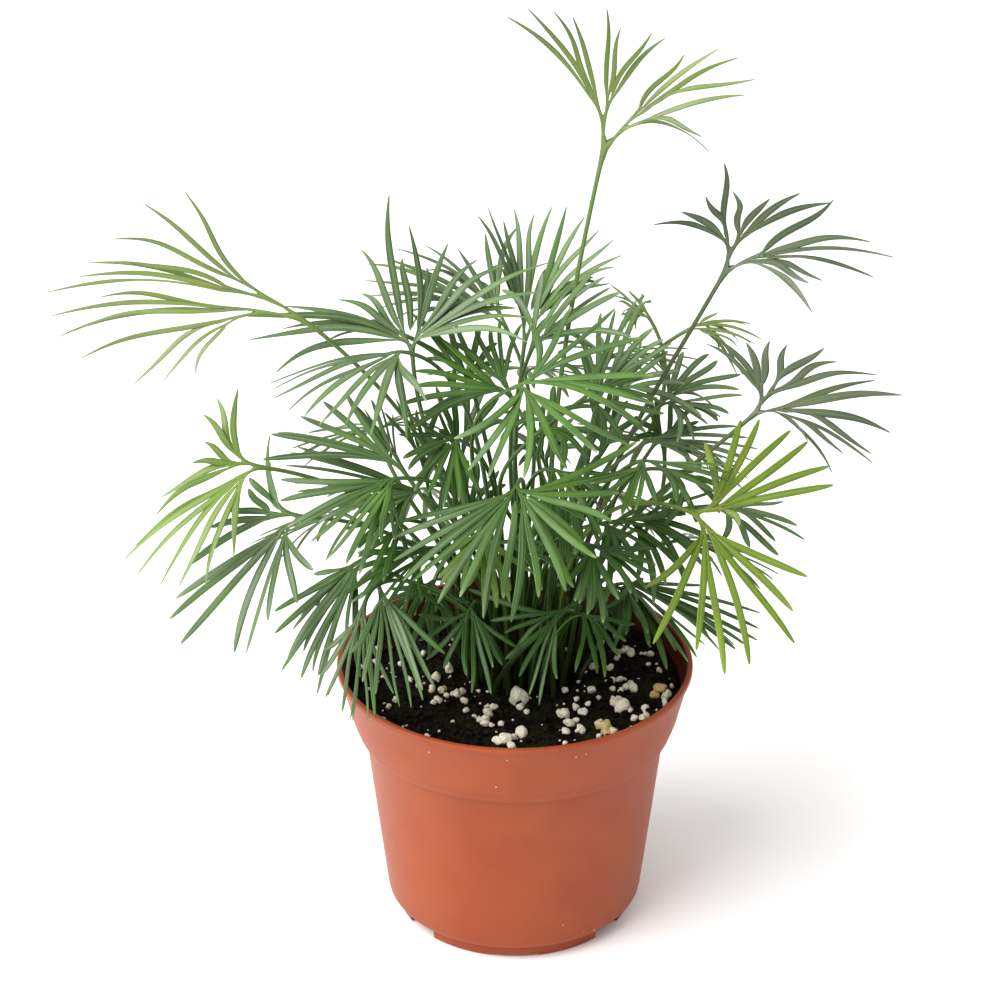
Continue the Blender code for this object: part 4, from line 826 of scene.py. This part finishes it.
def rows_of(table):
    return [(name, seen_at(*hub), [seen_at(*mark) for mark in marks], *rest)
            for name, hub, marks, *rest in table]


def planned_fronds():
    """The CAD's fronds, the shoots, which give way to them, and the room that all of them fill."""
    room = Room()
    rim = [np.array([RIM_GUARD * math.cos(a), RIM_GUARD * math.sin(a), POT_HEIGHT - LIP_WIDTH])
           for a in np.linspace(0, 2 * math.pi, RIM_GUARD_RODS + 1)]
    room.add(rim, [LIP_WIDTH] * RIM_GUARD_RODS, -1)
    rows = rows_of(FRONDS) + HIDDEN_FRONDS
    count = len(rows)
    places = crown_places(count)
    fronds = [plan_frond(row, places, i) for i, row in enumerate(rows)]
    settle(fronds, room)
    shoot_rows = [(*row, *SHOOT_HABIT) for row in rows_of(SHOOTS)]
    places = crown_places(count + len(SHOOTS))[count:]
    shoots = [plan_frond(row, places, count + i) for i, row in enumerate(shoot_rows)]
    settle(shoots, room)
    return fronds, shoots, room


def section(centre, forward, side, width, form):
    """Left edge, top, right edge and keel corners of a section, in metres."""
    side = unit(side - forward * float(side @ forward))
    up = np.cross(side, forward)
    edge_up, top_up, keel_up = form
    left = centre - side * width / 2 / DRAWN_IN + up * edge_up
    right = centre + side * width / 2 / DRAWN_IN + up * edge_up
    return [Vector(corner * MM) for corner in (left, centre + up * top_up, right, centre + up * keel_up)]


def scaled(form, share):
    return tuple(part * share for part in form)


def mark(bm, corners, along, tone):
    """Write where on the blade a section's corners are, for the material."""
    layers = bm.verts.layers.float
    for vert, across, upper in zip(corners, (-1, 0, 1, 0), (0, 1, 0, -1)):
        vert[layers["across"]] = across
        vert[layers["upper"]] = upper
        vert[layers["along"]] = along
        vert[layers["tone"]] = tone


def grow_to(bm, face, corners, target, along, tone):
    """Extrude one end face to the next section."""
    new = bmesh.ops.extrude_discrete_faces(bm, faces=[face])["faces"][0]
    moved = [min(new.verts, key=lambda v: (v.co - old.co).length_squared) for old in corners]
    for vert, place in zip(moved, target):
        vert.co = place
    mark(bm, moved, along, tone)
    return new, moved


def fork(bm, face, corners):
    """Split an end face from top to keel, and give each half a top of its own."""
    left, top, right, keel = corners
    other = bmesh.utils.face_split(face, top, keel)[0]
    halves = [face, other] if left in face.verts else [other, face]
    ends = []
    for half, a, b in ((halves[0], left, top), (halves[1], top, right)):
        middle = bmesh.utils.edge_split(bm.edges.get((a, b)), a, 0.5)[1]
        ends.append((half, [a, middle, b, keel]))
    return ends


def gather(frond):
    """Draw the forks of a full fan in towards its hub, where its blades all but meet."""
    hub = frond["stipe"][3]
    for part in frond["branches"] + frond["blades"]:
        for key in ("start", "end"):
            if key in part:
                part[key] = hub + (part[key] - hub) * GATHERED


def width_beside(here, sibling):
    """The width that fits at a point beside the other child of the same fork."""
    line = chain_of(sibling) if sibling["kind"] == "blade" else np.array([sibling["start"], sibling["end"]])
    point = np.array([here])
    space = float(segment_gaps(point, point, line[:-1], line[1:]).min())
    return max(BRANCH_LEAST, space * WING_SHARE_OF_SPACE)


def build_blade(bm, face, corners, blade, sibling, frond, rng):
    """A narrow strap that bows, sways and twists a little and ends in a point."""
    knots = [blade["start"], blade["ctrl"], blade["tip"]]
    twist = rng.uniform(-BLADE_TWIST, BLADE_TWIST)
    slender = frond["slender"]
    fuller = BROAD_FULLER if frond["name"] in BROAD_FANS else STRAP_FULLER
    if frond["name"] in SPARSE_FANS:
        fuller = SPARSE_FULLER
    full = blade["width"] * (SLENDER_FULLER if slender else fuller)
    sway = rng.uniform(-1, 1) * (SLENDER_SWAY if slender else BLADE_SWAY)
    bow = SLENDER_BOW * np.linalg.norm(blade["tip"] - blade["start"]) if slender else 0.0
    tone = FROND_TONE_SHARE * frond["tone"] + (1 - FROND_TONE_SHARE) * rng.random()
    for t, share in SLENDER if slender else STRAP:
        forward = heading_at(knots, t)
        here = curve(knots, t) + blade["side"] * sway * math.sin(2 * math.pi * t)
        here = here + UP * bow * math.sin(math.pi * t)
        side = blade["side"] * math.cos(twist * t) + np.cross(forward, blade["side"]) * math.sin(twist * t)
        width = full * share if sibling is None else min(full * share, width_beside(here, sibling))
        form = scaled(BLADE_FORM, (LEAST_DEPTH + (1 - LEAST_DEPTH) * share) * full / BLADE_WIDEST)
        face, corners = grow_to(bm, face, corners, section(here, forward, side, width, form), t, tone)
    point = bmesh.ops.poke(bm, faces=[face])["verts"][0]
    point.co = Vector(blade["tip"] * MM)
    mark(bm, [point], 1.0, tone)
    point[bm.verts.layers.float["across"]] = 0


def build_fork(bm, face, corners, children, frond, rng):
    share = frond["widest"] / BLADE_WIDEST
    for child, sibling, (half, ends) in zip(children, children[::-1], fork(bm, face, corners)):
        if child["kind"] == "blade":
            if child["clear"]:
                build_blade(bm, half, ends, child, sibling, frond, rng)
            continue
        width = min(WING_WIDTH * share, width_beside(child["end"], sibling))
        target = section(child["end"], child["heading"], child["side"], width, scaled(WING_FORM, share))
        grown, there = grow_to(bm, half, ends, target, 0.0, PLAIN_TONE)
        build_fork(bm, grown, there, child["children"], frond, rng)


def first_face(bm, low, high, along):
    """The upper end face of a new four-sided stub between two sections, and its corners."""
    made = bmesh.ops.create_cone(bm, cap_ends=True, segments=4, radius1=MM, radius2=MM, depth=MM)["verts"]
    faces = {face for vert in made for face in vert.link_faces}
    face = max(faces, key=lambda f: f.calc_center_median().z)
    corners = list(face.verts)
    feet = []
    for corner, below, above in zip(corners, low, high):
        upright = next(e for e in corner.link_edges if e.other_vert(corner) not in corners)
        foot = upright.other_vert(corner)
        foot.co = below
        corner.co = above
        feet.append(foot)
    mark(bm, feet, along, PLAIN_TONE)
    mark(bm, corners, along, PLAIN_TONE)
    return face, corners


def build_under(bm, blades, frond, rng, room):
    """Shorter blades that hang under the spaces between the others, rooted where two of them part.

    One that would run into another frond is left out.
    """
    for one, other in zip(blades, blades[1:]):
        if np.linalg.norm(one["tip"] - other["tip"]) < UNDER_LEAST_SPACING or rng.random() > UNDER_SHARE:
            continue
        extra = {key: (one[key] + other[key]) / 2 for key in ("start", "ctrl", "tip", "width")}
        extra["side"] = unit(one["side"] + other["side"])
        drop = UP * rng.uniform(*UNDER_DROP)
        extra["tip"] = extra["start"] + (extra["tip"] - extra["start"]) * rng.uniform(*UNDER_REACH) - drop
        extra["ctrl"] = extra["ctrl"] - drop * KNOT_FOLLOWS
        low = np.minimum(extra["start"], extra["tip"]) - REACH
        high = np.maximum(extra["start"], extra["tip"]) + REACH
        others = room.near(low, high, frond["index"], False)
        if gap_of(chain_of(extra), blade_radii(extra), others) < UNDER_GAP:
            continue
        forward = unit(extra["ctrl"] - extra["start"])
        root = section(extra["start"], forward, extra["side"], BRANCH_LEAST, BLADE_FORM)
        neck = section(extra["start"] + forward, forward, extra["side"], BRANCH_LEAST, BLADE_FORM)
        face, corners = first_face(bm, root, neck, 0.0)
        build_blade(bm, face, corners, extra, None, frond, rng)


def build_frond(frond, room):
    """One frond: a round stipe, forks, and a blade from every last fork."""
    rng = random.Random(frond["name"] + " fine")
    frond["tone"] = rng.random()
    if frond["filled"]:
        gather(frond)
    bm = bmesh.new()
    for layer in LEAF_LAYERS:
        bm.verts.layers.float.new(layer)
    base = frond["base"]
    flat_side = unit(frond["side"] - UP * float(frond["side"] @ UP))
    sunk = np.array([base[0], base[1], STIPE_BOTTOM])
    low = section(sunk, UP, flat_side, STIPE_WIDTH, STIPE_FORM)
    high = section(base, UP, flat_side, STIPE_WIDTH, STIPE_FORM)
    face, corners = first_face(bm, low, high, -1.0)
    for i in range(1, STIPE_RINGS + 1):
        t = i / STIPE_RINGS
        side = turned(flat_side, frond["side"], t)
        knots = frond["stipe"]
        swell = 1 + STIPE_SWELL * (1 - t) ** 3 - STIPE_TAPER * t
        form = scaled(STIPE_FORM, swell)
        target = section(curve(knots, t), heading_at(knots, t), side, STIPE_WIDTH * swell, form)
        face, corners = grow_to(bm, face, corners, target, t - 1, PLAIN_TONE)
    build_fork(bm, face, corners, frond["children"], frond, rng)
    if frond["filled"] and frond["name"] not in OPEN_FANS:
        build_under(bm, [blade for blade in frond["blades"] if blade["clear"]], frond, rng, room)
    piece = finish(frond["name"] + "_frond", bm)
    soften(piece)
    return piece


def finish(name, bm):
    """Turn a bmesh into a smooth-shaded object of its own."""
    mesh = bpy.data.meshes.new(name)
    bm.to_mesh(mesh)
    bm.free()
    mesh.shade_smooth()
    thing = bpy.data.objects.new(name, mesh)
    bpy.context.scene.collection.objects.link(thing)
    return thing


def soften(piece):
    rounder = piece.modifiers.new("rounded", "SUBSURF")
    rounder.levels = 1
    rounder.render_levels = 1


def place(piece, material, slot_name, *nodes):
    """Give a piece its material, hang it on the root body and hide the CAD parts that it stands for."""
    piece.data.materials.append(material)
    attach(piece, "root")
    if nodes:
        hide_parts(*nodes)


def spun(name, profile, turns):
    """A solid turned from a profile that starts and ends on the axis."""
    bm = bmesh.new()
    verts = [bm.verts.new((r * MM, 0.0, z * MM)) for r, z in profile]
    edges = [bm.edges.new(pair) for pair in zip(verts, verts[1:])]
    bmesh.ops.spin(bm, geom=verts + edges, cent=(0, 0, 0), axis=(0, 0, 1), angle=2 * math.pi,
                   steps=turns, use_merge=True)
    bmesh.ops.remove_doubles(bm, verts=bm.verts, dist=MERGED_WITHIN)
    bmesh.ops.recalc_face_normals(bm, faces=bm.faces)
    return finish(name, bm)


def cut(thing, cutters):
    """Cut all the cutters out of a piece in one step, then remove them."""
    group = bpy.data.collections.new(thing.name + "_cutters")
    for cutter in cutters:
        for old in list(cutter.users_collection):
            old.objects.unlink(cutter)
        group.objects.link(cutter)
    step = thing.modifiers.new("cut", "BOOLEAN")
    step.operand_type = "COLLECTION"
    step.collection = group
    evaluated = thing.evaluated_get(bpy.context.evaluated_depsgraph_get())
    mesh = bpy.data.meshes.new_from_object(evaluated)
    thing.modifiers.remove(step)
    thing.data = mesh
    for cutter in cutters:
        bpy.data.objects.remove(cutter, do_unlink=True)
    bpy.data.collections.remove(group)


def foot_cutter(angle, width, height):
    """A box that lies along a radius, for cutting the foot."""
    r0 = FOOT_INNER - CUT_INWARDS
    r1 = FOOT_RADIUS + CUT_OUTWARDS
    bm = bmesh.new()
    bmesh.ops.create_cube(bm, size=1.0)
    bmesh.ops.scale(bm, vec=((r1 - r0) * MM, width * MM, (height + CUT_PAST) * MM), verts=bm.verts)
    bmesh.ops.translate(bm, vec=((r0 + r1) / 2 * MM, 0, (height - CUT_PAST) / 2 * MM), verts=bm.verts)
    bmesh.ops.rotate(bm, cent=(0, 0, 0), matrix=Matrix.Rotation(angle, 3, "Z"), verts=bm.verts)
    return finish("cutter", bm)


def drain_cutter(angle):
    """An upright rod, for cutting a drain hole."""
    z0 = FLOOR_UNDER - CUT_PAST
    z1 = FLOOR_TOP + CUT_PAST
    x = DRAIN_FROM_AXIS * math.cos(angle)
    y = DRAIN_FROM_AXIS * math.sin(angle)
    bm = bmesh.new()
    bmesh.ops.create_cone(bm, cap_ends=True, segments=DRAIN_TURNS, radius1=DRAIN_RADIUS * MM,
                          radius2=DRAIN_RADIUS * MM, depth=(z1 - z0) * MM)
    bmesh.ops.translate(bm, vec=(x * MM, y * MM, (z0 + z1) / 2 * MM), verts=bm.verts)
    return finish("cutter", bm)


def build_pot():
    foot = [(0, 0), (PAD_RADIUS - FOOT_ROUNDING, 0), (PAD_RADIUS, FOOT_ROUNDING), (PAD_RADIUS, FLOOR_UNDER),
            (FOOT_INNER, FLOOR_UNDER), (FOOT_INNER, FOOT_ROUNDING), (FOOT_INNER + FOOT_ROUNDING, 0)]
    pot = spun("nursery_pot", foot + POT_OUTSIDE + POT_INSIDE + [(0, FLOOR_TOP)], POT_TURNS)
    cutters = []
    for degrees in SLOT_ANGLES:
        angle = math.radians(degrees - 90)
        cutters += [foot_cutter(angle, SLOT_WIDTH, SLOT_HEIGHT), drain_cutter(angle)]
    for angle in (-math.pi / 2, math.pi / 2):
        cutters.append(foot_cutter(angle, NOTCH_WIDTH, NOTCH_HEIGHT))
    cut(pot, cutters)
    pot.data.set_sharp_from_angle(angle=math.radians(SHARP_ANGLE))
    return pot


def relief(x, y):
    """Height of the mix above its flat top: level in the crown, and with the solid's waves near the rim."""
    r = math.hypot(x, y)
    lumps = math.sin(x * 0.31 + 1.3) * math.cos(y * 0.27) + 0.5 * math.sin(x * 0.17 - y * 0.37)
    rise = min(1.0, max(0.0, (r - MIX_RINGS[-1]) / RELIEF_EASES))
    return MIX_RELIEF * lumps * rise


def crumbled(x, y):
    """Height of the mix with its crumbs and clods, above its flat top."""
    clods = noise.fractal(Vector((x * CLODS[0], y * CLODS[0], 3.0)), 1.0, 2.0, 3)
    crumbs = noise.fractal(Vector((x * CRUMBS[0], y * CRUMBS[0], 9.0)), 0.8, 2.1, 3)
    return relief(x, y) + CLODS[1] * clods + CRUMBS[1] * crumbs


def build_mix():
    rings = int(MIX_RINGS[0] / MIX_STEP)
    top = [(MIX_RINGS[0] * (1 - i / rings), MIX_TOP) for i in range(rings + 1)]
    mix = spun("peat_mix", [(0, MIX_BOTTOM)] + MIX_OUTSIDE + top, MIX_TURNS)
    for vert in mix.data.vertices:
        x, y, z = (c / MM for c in vert.co)
        if z > MIX_OUTSIDE[-1][1] + 1:
            broken = min(1.0, max(0.0, (MIX_RINGS[0] - math.hypot(x, y)) / CALM_EDGE))
            vert.co.z += (relief(x, y) * (1 - broken) + crumbled(x, y) * broken) * MM
    return mix


def lump(bm, rng, centre, size, detail, rough):
    """Add one rough lump to a bmesh."""
    made = bmesh.ops.create_icosphere(bm, subdivisions=detail, radius=size / 2 * MM)["verts"]
    squash = [rng.uniform(*span) for span in LUMP_SQUASH]
    turn = Matrix.Rotation(rng.uniform(0, 2 * math.pi), 3, "Z")
    tilt = Matrix.Rotation(rng.uniform(-LUMP_TILT, LUMP_TILT), 3, "X")
    seed = Vector([rng.uniform(*ANYWHERE) for _ in range(3)])
    bmesh.ops.scale(bm, vec=squash, verts=made)
    bmesh.ops.rotate(bm, cent=(0, 0, 0), matrix=turn @ tilt, verts=made)
    for vert in made:
        bump = noise.fractal(vert.co * LUMP_PIMPLES / (size * MM) + seed, 0.9, 2.0, 2)
        vert.co = vert.co * (1 + rough * bump) + Vector(centre) * MM
    return made


def on_mix(rng, least, most):
    """A random place on the mix between two radii."""
    r = math.sqrt(rng.uniform(least ** 2, most ** 2))
    a = rng.uniform(0, 2 * math.pi)
    return r * math.cos(a), r * math.sin(a)


def any_size(rng, sizes, power):
    return sizes[0] + (sizes[1] - sizes[0]) * rng.random() ** power


def build_crumbs():
    """Loose crumbs of peat and bark on the mix."""
    rng = random.Random("crumbs")
    bm = bmesh.new()
    tones = bm.verts.layers.float.new("tone")
    for _ in range(CRUMB_COUNT):
        x, y = on_mix(rng, 0, MIX_RINGS[0] - CRUMBS_FROM_EDGE)
        size = any_size(rng, CRUMB_SIZES, CRUMBS_SMALL)
        tone = rng.random()
        height = MIX_TOP + crumbled(x, y) + size * CRUMB_SITS
        for vert in lump(bm, rng, (x, y, height), size, 1, LUMP_ROUGH):
            vert[tones] = tone
    return finish("peat_crumbs", bm)


def build_perlite():
    """White grains: the large ones where the photograph shows them, small ones all over, and dust."""
    rng = random.Random("fine perlite")
    bm = bmesh.new()
    tones = bm.verts.layers.float.new("tone")
    grains = [(*seen_on_mix(across, down), size, STAINED_TONE) for across, down, size in STAINED_GRAINS]
    grains += [(*seen_on_mix(across, down), size, 0.0) for across, down, size in GRAINS]
    grains += [(x, y, size, 0.0) for x, y, size in HIDDEN_GRAINS]
    large = len(grains)
    for _ in range(SPECK_COUNT):
        x, y = on_mix(rng, SPECKS_FROM_AXIS, MIX_RINGS[0] - SPECKS_FROM_EDGE)
        grains.append((x, y, any_size(rng, SPECK_SIZES, SPECKS_SMALL), 0.0))
    for i, (x, y, size, least_tone) in enumerate(grains):
        tone = least_tone + rng.random() * CLEAN_TONES
        height = MIX_TOP + crumbled(x, y) + size * GRAIN_SITS
        detail = 3 if i < large else 2 if size > COARSE_SPECK else 1
        for vert in lump(bm, rng, (x, y, height), size * GRAIN_FULLER, detail, LUMP_ROUGH):
            vert[tones] = tone
    for across, down in DUST:
        lump(bm, rng, seen_on_wall(across, down), DUST_SIZE, 1, DUST_ROUGH)
    return finish("perlite_grains", bm)


def colour(code):
    """The linear colour of an sRGB hex value."""
    parts = [int(code[i:i + 2], 16) / 255 for i in (1, 3, 5)]
    return (*[c / 12.92 if c <= 0.04045 else ((c + 0.055) / 1.055) ** 2.4 for c in parts], 1.0)


def feed(tree, node, inputs):
    """Set or link a shader node's inputs."""
    for key, value in inputs.items():
        if isinstance(value, bpy.types.NodeSocket):
            tree.links.new(value, node.inputs[key])
        else:
            node.inputs[key].default_value = value


def add(tree, kind, inputs, out=0, **settings):
    """Add a shader node with its settings and inputs, and give the output that is asked for."""
    made = tree.nodes.new("ShaderNode" + kind)
    for key, value in settings.items():
        setattr(made, key, value)
    feed(tree, made, inputs)
    return made.outputs[out]


def blank(name):
    """A new material, its node tree, its shader and the place on the piece."""
    material = bpy.data.materials.new(name)
    material.use_nodes = True
    tree = material.node_tree
    return material, tree, tree.nodes["Principled BSDF"], add(tree, "TexCoord", {}, "Object")


def fern_leaf(name, dark, light, midrib, edge, under, stipe, painted_deep_shade, glow):
    """Living fern leaf: waxy green straps with a paler midrib, thin pale edges and pale tips.

    Each blade has its own tone and fine streaks along it, and random patches of the plant have a painted
    glow in the colour of light through a blade. Deep in it, painted shade makes the green darker and more
    yellow, as under light that comes through other leaves, and the stipe browns towards the mix.
    """
    material, tree, shader, place_on = blank(name)
    across, upper, along, tone = (add(tree, "Attribute", {}, "Fac", attribute_name=layer)
                                  for layer in LEAF_LAYERS)
    off_rib = add(tree, "Math", {0: across}, operation="ABSOLUTE")
    mottle = add(tree, "TexNoise", {"Vector": place_on, "Scale": 1 / (LEAF_MOTTLE * MM), "Detail": 3.0})
    painted_glow_patches = add(tree, "TexNoise", {"Vector": place_on, "Scale": 1 / (PAINTED_GLOW_SIZE * MM), "Detail": 1.0})
    shade_middle_distance = add(tree, "VectorMath", {0: place_on, 1: PAINTED_SHADE_MIDDLE}, "Value", operation="DISTANCE")
    lane = add(tree, "Math", {0: tone, 1: BLADES_APART}, operation="MULTIPLY")
    lane = add(tree, "CombineXYZ", {0: across, 1: along, 2: lane})
    lane = add(tree, "Mapping", {"Vector": lane, "Scale": (STREAKS_ACROSS, STREAKS_ALONG, 1.0)})
    streak = add(tree, "TexNoise", {"Vector": lane, "Scale": 1.0, "Detail": 2.0})
    blend = add(tree, "Math", {0: tone, 1: mottle}, operation="ADD")
    blend = add(tree, "Math", {0: streak, 1: STREAK_WEIGHT, 2: blend}, operation="MULTIPLY_ADD")
    dark_at, light_at = DARK_TO_LIGHT
    blend = add(tree, "MapRange", {"Value": blend, "From Min": dark_at, "From Max": light_at})
    paled = add(tree, "MapRange", {"Value": tone, "From Min": 0.4, "From Max": 0.7, "To Max": 0.7})
    browned = add(tree, "MapRange", {"Value": tone, "From Min": 0.93, "From Max": 0.97, "To Max": 0.7})
    leaf = add(tree, "Mix", {0: blend, 6: colour(dark), 7: colour(light)}, 2, data_type="RGBA")
    # Each further colour, the value that says where it shows, two such values and its share at each
    further = (
        # The first further colour is a painted glow: the colour of light that comes through a blade, laid
        # on random patches
        (glow, painted_glow_patches, 0.48, 0.64, 0.0, 0.3), (under, upper, -0.1, -0.4, 0.0, 0.85),
        # The colour of blades deep in the plant is painted shade, strongest near the middle of the crown
        (stipe, along, -0.08, 0.02, 1.0, 0.0), (painted_deep_shade, shade_middle_distance, 0.03, 0.075, 0.85, 0.0),
        (midrib, off_rib, 0.04, 0.2, 0.45, 0.0), (edge, off_rib, 0.78, 1.0, 0.0, 0.8),
        (PALE_TIP, along, 0.9, 1.0, 0.0, paled), (DRIED_TIP, along, 0.9, 1.0, 0.0, browned),
        (STIPE_FOOT, along, -0.95, -0.6, 0.75, 0.0),
    )
    for shade, *where in further:
        share = add(tree, "MapRange", dict(zip(RANGE_INPUTS, where)))
        leaf = add(tree, "Mix", {0: share, 6: leaf, 7: colour(shade)}, 2, data_type="RGBA")
    ridges = add(tree, "Bump", {"Strength": 0.35, "Distance": 0.12 * MM, "Height": streak})
    feed(tree, shader, {"Base Color": leaf, "Normal": ridges, "Roughness": 0.34, "IOR": 1.5})
    through = add(tree, "BsdfTranslucent", {"Color": colour(glow)})
    both = add(tree, "MixShader", {0: LEAF_TRANSLUCENCE, 1: shader.outputs[0], 2: through})
    feed(tree, tree.nodes["Material Output"], {"Surface": both})
    return material


def moulded_polypropylene():
    """Terracotta-coloured polypropylene, injection moulded: an even satin with a faint soft grain.

    The wall's inside above the mix is darkened with painted shade, the shade of the leaves over it.
    """
    material, tree, shader, place_on = blank("moulded_polypropylene_terracotta")
    cloudy = add(tree, "TexNoise", {"Vector": place_on, "Scale": 1 / (18 * MM), "Detail": 3.0})
    fade = add(tree, "MapRange", {"Value": cloudy, "From Min": 0.3, "From Max": 0.7})
    body = add(tree, "Mix", {0: fade, 6: colour("#8C4224"), 7: colour("#944A2A")}, 2, data_type="RGBA")
    # Painted shade: the wall's inside above the mix is mixed most of the way towards a dark brown
    height = add(tree, "SeparateXYZ", {0: place_on}, "Z")
    reach = add(tree, "VectorMath", {0: place_on, 1: (1, 1, 0)}, operation="MULTIPLY")
    reach = add(tree, "VectorMath", {0: reach}, "Value", operation="LENGTH")
    wall = add(tree, "Math", {0: height, 1: INNER_SLOPE, 2: INNER_START}, operation="MULTIPLY_ADD")
    within = add(tree, "Math", {0: reach, 1: wall}, operation="LESS_THAN")
    above = add(tree, "Math", {0: height, 1: INNER_FROM}, operation="GREATER_THAN")
    stain_and_painted_shade = add(tree, "Math", {0: within, 1: above}, operation="MULTIPLY")
    stain_and_painted_shade = add(tree, "Math", {0: stain_and_painted_shade, 1: 0.75}, operation="MULTIPLY")
    body = add(tree, "Mix", {0: stain_and_painted_shade, 6: body, 7: colour("#2E1408")}, 2, data_type="RGBA")
    grain = add(tree, "TexNoise", {"Vector": place_on, "Scale": 1 / (0.6 * MM), "Detail": 2.0})
    grain = add(tree, "Bump", {"Strength": 0.12, "Distance": 0.05 * MM, "Height": grain})
    rough = add(tree, "MapRange", {"Value": cloudy, "To Min": 0.38, "To Max": 0.52})
    feed(tree, shader, {"Base Color": body, "Normal": grain, "Roughness": rough, "IOR": 1.49,
                        "Specular IOR Level": 0.35})
    return material


def peat():
    """Moist peat mix: dark fibres and crumbs with some green algae, fully matt."""
    material, tree, shader, place_on = blank("moist_peat")
    fibres = add(tree, "TexNoise", {"Vector": place_on, "Scale": 1 / (1.2 * MM), "Detail": 5.0})
    patches = add(tree, "TexNoise", {"Vector": place_on, "Scale": 1 / (11 * MM), "Detail": 3.0})
    dry = add(tree, "MapRange", {"Value": fibres, "From Min": 0.42, "From Max": 0.75})
    soil = add(tree, "Mix", {0: dry, 6: colour("#050302"), 7: colour("#33281A")}, 2, data_type="RGBA")
    algae = add(tree, "MapRange", {"Value": patches, "From Min": 0.5, "From Max": 0.68, "To Max": 0.6})
    soil = add(tree, "Mix", {0: algae, 6: soil, 7: colour("#262C12")}, 2, data_type="RGBA")
    bumps = add(tree, "Bump", {"Strength": 0.8, "Distance": 0.4 * MM, "Height": fibres})
    feed(tree, shader, {"Base Color": soil, "Normal": bumps, "Roughness": 0.9, "Specular IOR Level": 0.15})
    return material


def expanded_perlite():
    """Expanded volcanic glass: chalky white froth, a few grains stained by the peat."""
    material, tree, shader, place_on = blank("expanded_perlite")
    tone = add(tree, "Attribute", {}, "Fac", attribute_name="tone")
    pits = add(tree, "TexNoise", {"Vector": place_on, "Scale": 1 / (0.7 * MM), "Detail": 4.0})
    stain_and_painted_shade = add(tree, "MapRange", {"Value": tone, "From Min": 0.6, "From Max": 1.0})
    body = add(tree, "Mix", {0: stain_and_painted_shade, 6: colour("#D6CFBE"), 7: colour("#BEA676")}, 2, data_type="RGBA")
    dirt = add(tree, "MapRange", {"Value": pits, "From Min": 0.5, "From Max": 0.75, "To Max": 0.6})
    body = add(tree, "Mix", {0: dirt, 6: body, 7: colour("#85704A")}, 2, data_type="RGBA")
    froth = add(tree, "Bump", {"Strength": 0.6, "Distance": 0.25 * MM, "Height": pits})
    feed(tree, shader, {"Base Color": body, "Normal": froth, "Roughness": 0.85})
    return material


def studio_paper():
    """Seamless white paper under the pot."""
    material, tree, shader, place_on = blank("studio_paper")
    tooth = add(tree, "TexNoise", {"Vector": place_on, "Scale": 1 / (2 * MM), "Detail": 2.0})
    tooth = add(tree, "Bump", {"Strength": 0.05, "Distance": 0.05 * MM, "Height": tooth})
    feed(tree, shader, {"Base Color": colour("#F4F4F4"), "Normal": tooth, "Roughness": 0.9})
    return material


def build_floor():
    bm = bmesh.new()
    bmesh.ops.create_grid(bm, x_segments=1, y_segments=1, size=FLOOR_SIZE)
    floor = finish("paper_floor", bm)
    floor.data.materials.append(studio_paper())


def light_studio():
    """A large soft light from the front left, over a bright plain surround."""
    bpy.context.scene.view_settings.view_transform = "Standard"
    bpy.context.scene.view_settings.look = "Medium High Contrast"
    world = bpy.data.worlds.new("plain_surround")
    world.use_nodes = True
    surround = world.node_tree.nodes["Background"]
    surround.inputs["Color"].default_value = colour("#FFFFFF")
    surround.inputs["Strength"].default_value = SURROUND_STRENGTH
    bpy.context.scene.world = world
    lamp = bpy.data.lights.new("key", "AREA")
    lamp.shape = "DISK"
    lamp.size = LAMP_SIZE
    lamp.energy = LAMP_POWER
    holder = bpy.data.objects.new("key", lamp)
    holder.location = LAMP_PLACE
    holder.rotation_euler = (LAMP_AIM - LAMP_PLACE).to_track_quat("-Z", "Y").to_euler()
    bpy.context.scene.collection.objects.link(holder)


def place_camera():
    """The photograph's place, tilt and angle of view."""
    lens = bpy.data.cameras.new("photo_camera")
    lens.sensor_width = SENSOR_WIDTH
    lens.lens = FOCAL_PIXELS / PICTURE_SIZE * SENSOR_WIDTH
    lens.clip_start, lens.clip_end = CAMERA_SEES
    holder = bpy.data.objects.new("photo_camera", lens)
    holder.location = Vector(CAMERA * MM)
    holder.rotation_euler = (math.pi / 2 - CAMERA_DOWN, 0, 0)
    bpy.context.scene.collection.objects.link(holder)
    bpy.context.scene.camera = holder


def main():
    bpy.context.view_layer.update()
    leaves = {name: fern_leaf(name, *shades.split()) for name, shades in LEAF_SHADES.items()}
    finish_of = {name: finish_name for finish_name, names in FRONDS_OF.items() for name in names}
    fronds, shoots, room = planned_fronds()
    for frond in fronds:
        leaf = leaves[finish_of.get(frond["name"], "mature_leaf")]
        slot_name = "young_frond" if frond["name"] in YOUNG else "mature_frond"
        place(build_frond(frond, room), leaf, slot_name, frond["name"])
    for shoot in shoots:
        place(build_frond(shoot, room), leaves["mature_leaf"], "mature_frond")
    place(build_pot(), moulded_polypropylene(), "pot", "pot")
    soil = peat()
    place(build_mix(), soil, "potting_mix", "potting_mix")
    place(build_crumbs(), soil, "potting_mix")
    place(build_perlite(), expanded_perlite(), "potting_mix")
    build_floor()
    light_studio()
    place_camera()


main()
